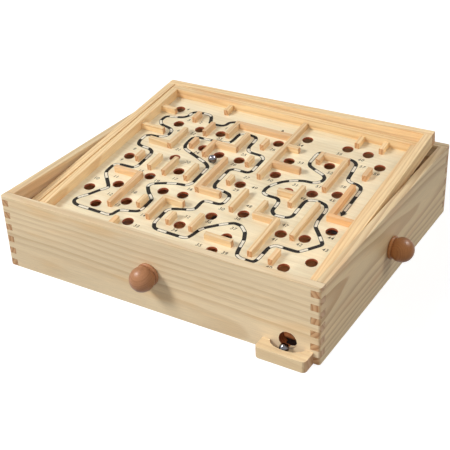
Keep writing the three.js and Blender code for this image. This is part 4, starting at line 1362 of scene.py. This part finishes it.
for node, (body, place, size) in BARS.items():
    measured = level_copy(node, place)
    low, high = [corner.z for corner in corners(measured)]
    measured.free()
    rod = turned(bar_outline(low, high, *size), steps=40)
    set_down(rod, node + "_steel", body, ["drawn_steel"], place, [node])
    print(node, round(high - low, 1), "mm long")

# %% [markdown]
# ## Cords and springs
#
# Under each frame a thin cord runs from a peg to the shaft, twice round it, and by way of a
# spring to a peg on the other side. The frame carries the ends, but the turns stay on the shaft
# when the frame tilts. So each cord is cut in the middle of its turns. Each half of the inner
# frame's cord is cut once more, where its two stretches meet, because its shaft turns in the case
# and both frames tilt between them. The pieces are set down without a body. A merged copy of the
# imported tube, let out a little along its normals, gives the form.

# %% Cord finish


def paint_cord(name):
    tree, shader = new_material(name)
    inputs = {"Vector": object_place(tree), "Scale": 240.0, "Distortion": 0.6, "Detail": 2.0}
    strands = add_node(tree, "TexWave", {"bands_direction": "DIAGONAL"}, inputs).outputs["Fac"]
    feed(tree, shader, {
        "Base Color": blend(tree, strands, colour(168, 158, 138), colour(226, 218, 200)),
        "Roughness": 0.85, "Normal": bump(tree, strands, 0.6, 0.0002)})


paint_cord("twisted_cord")
print("twisted cord is ready")

# %% Helpers for cords
TUBE_SWELL = 0.03
NEAR_SHAFT = 4


def fuller_tube(node):
    """A merged copy of a cord or a spring, let out along its normals."""
    tube = merged_copy(node)
    bmesh.ops.join_triangles(tube, faces=tube.faces, angle_face_threshold=math.radians(30),
                             angle_shape_threshold=math.radians(40))
    tube.normal_update()
    for vert in tube.verts:
        vert.co += vert.normal * TUBE_SWELL
    return tube


def middle_of_turns(node, shaft_place):
    """Middle of a cord's turns: what lies close to the axis of the shaft."""
    shape = level_copy(node, shaft_place)
    turns = [vert.co.z for vert in shape.verts
             if math.hypot(vert.co.x, vert.co.y) < NEAR_SHAFT]
    shape.free()
    return shaft_place @ Vector((0, 0, (min(turns) + max(turns)) / 2))


def cut_at(shape, place, way):
    """Takes off what lies before a place, seen along the way, and closes the cut."""
    bmesh.ops.bisect_plane(shape, geom=everything(shape), plane_co=place, plane_no=way,
                           clear_inner=True)
    bmesh.ops.holes_fill(shape, edges=[edge for edge in shape.edges if edge.is_boundary], sides=0)


print("tubes are let out by", TUBE_SWELL, "mm")

# %% Cords and springs
CORDS = {  # place of the shaft, its way, way of the first half, and stretches: from, to, bodies
    "outer_frame": (RIGHT_AXIS, (1, 0, 0), (0, -1, 0), [(4, 44, "case", "outer_frame")]),
    "inner_frame": (FRONT_AXIS, (0, 1, 0), (-1, 0, 0),
                    [(4, 30, "case", "outer_frame"), (30, 75, "outer_frame", "inner_frame")]),
}

for node, (shaft_place, shaft_way, cord_way, stretches) in CORDS.items():
    middle = middle_of_turns(node + "_cord", shaft_place)
    for side, sign in (("first", 1), ("second", -1)):
        way = Vector(cord_way) * sign
        for number, (near, far, fixed, moving) in enumerate(stretches, 1):
            part = fuller_tube(node + "_cord")
            cut_at(part, middle, Vector(shaft_way) * sign)
            if number > 1:
                cut_at(part, middle + way * near, way)
            if number < len(stretches):
                cut_at(part, middle + way * far, -way)
            print(node, side, number, "faces", len(part.faces))
            cord = set_down(part, f"{node}_cord_{side}_{number}", None, ["twisted_cord"],
                            stands_for=[node + "_cord"])
            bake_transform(cord)
    set_down(fuller_tube(node + "_spring"), node + "_spring_wire", node, ["drawn_steel"],
             stands_for=[node + "_spring"])
print("cords wound and springs hung")
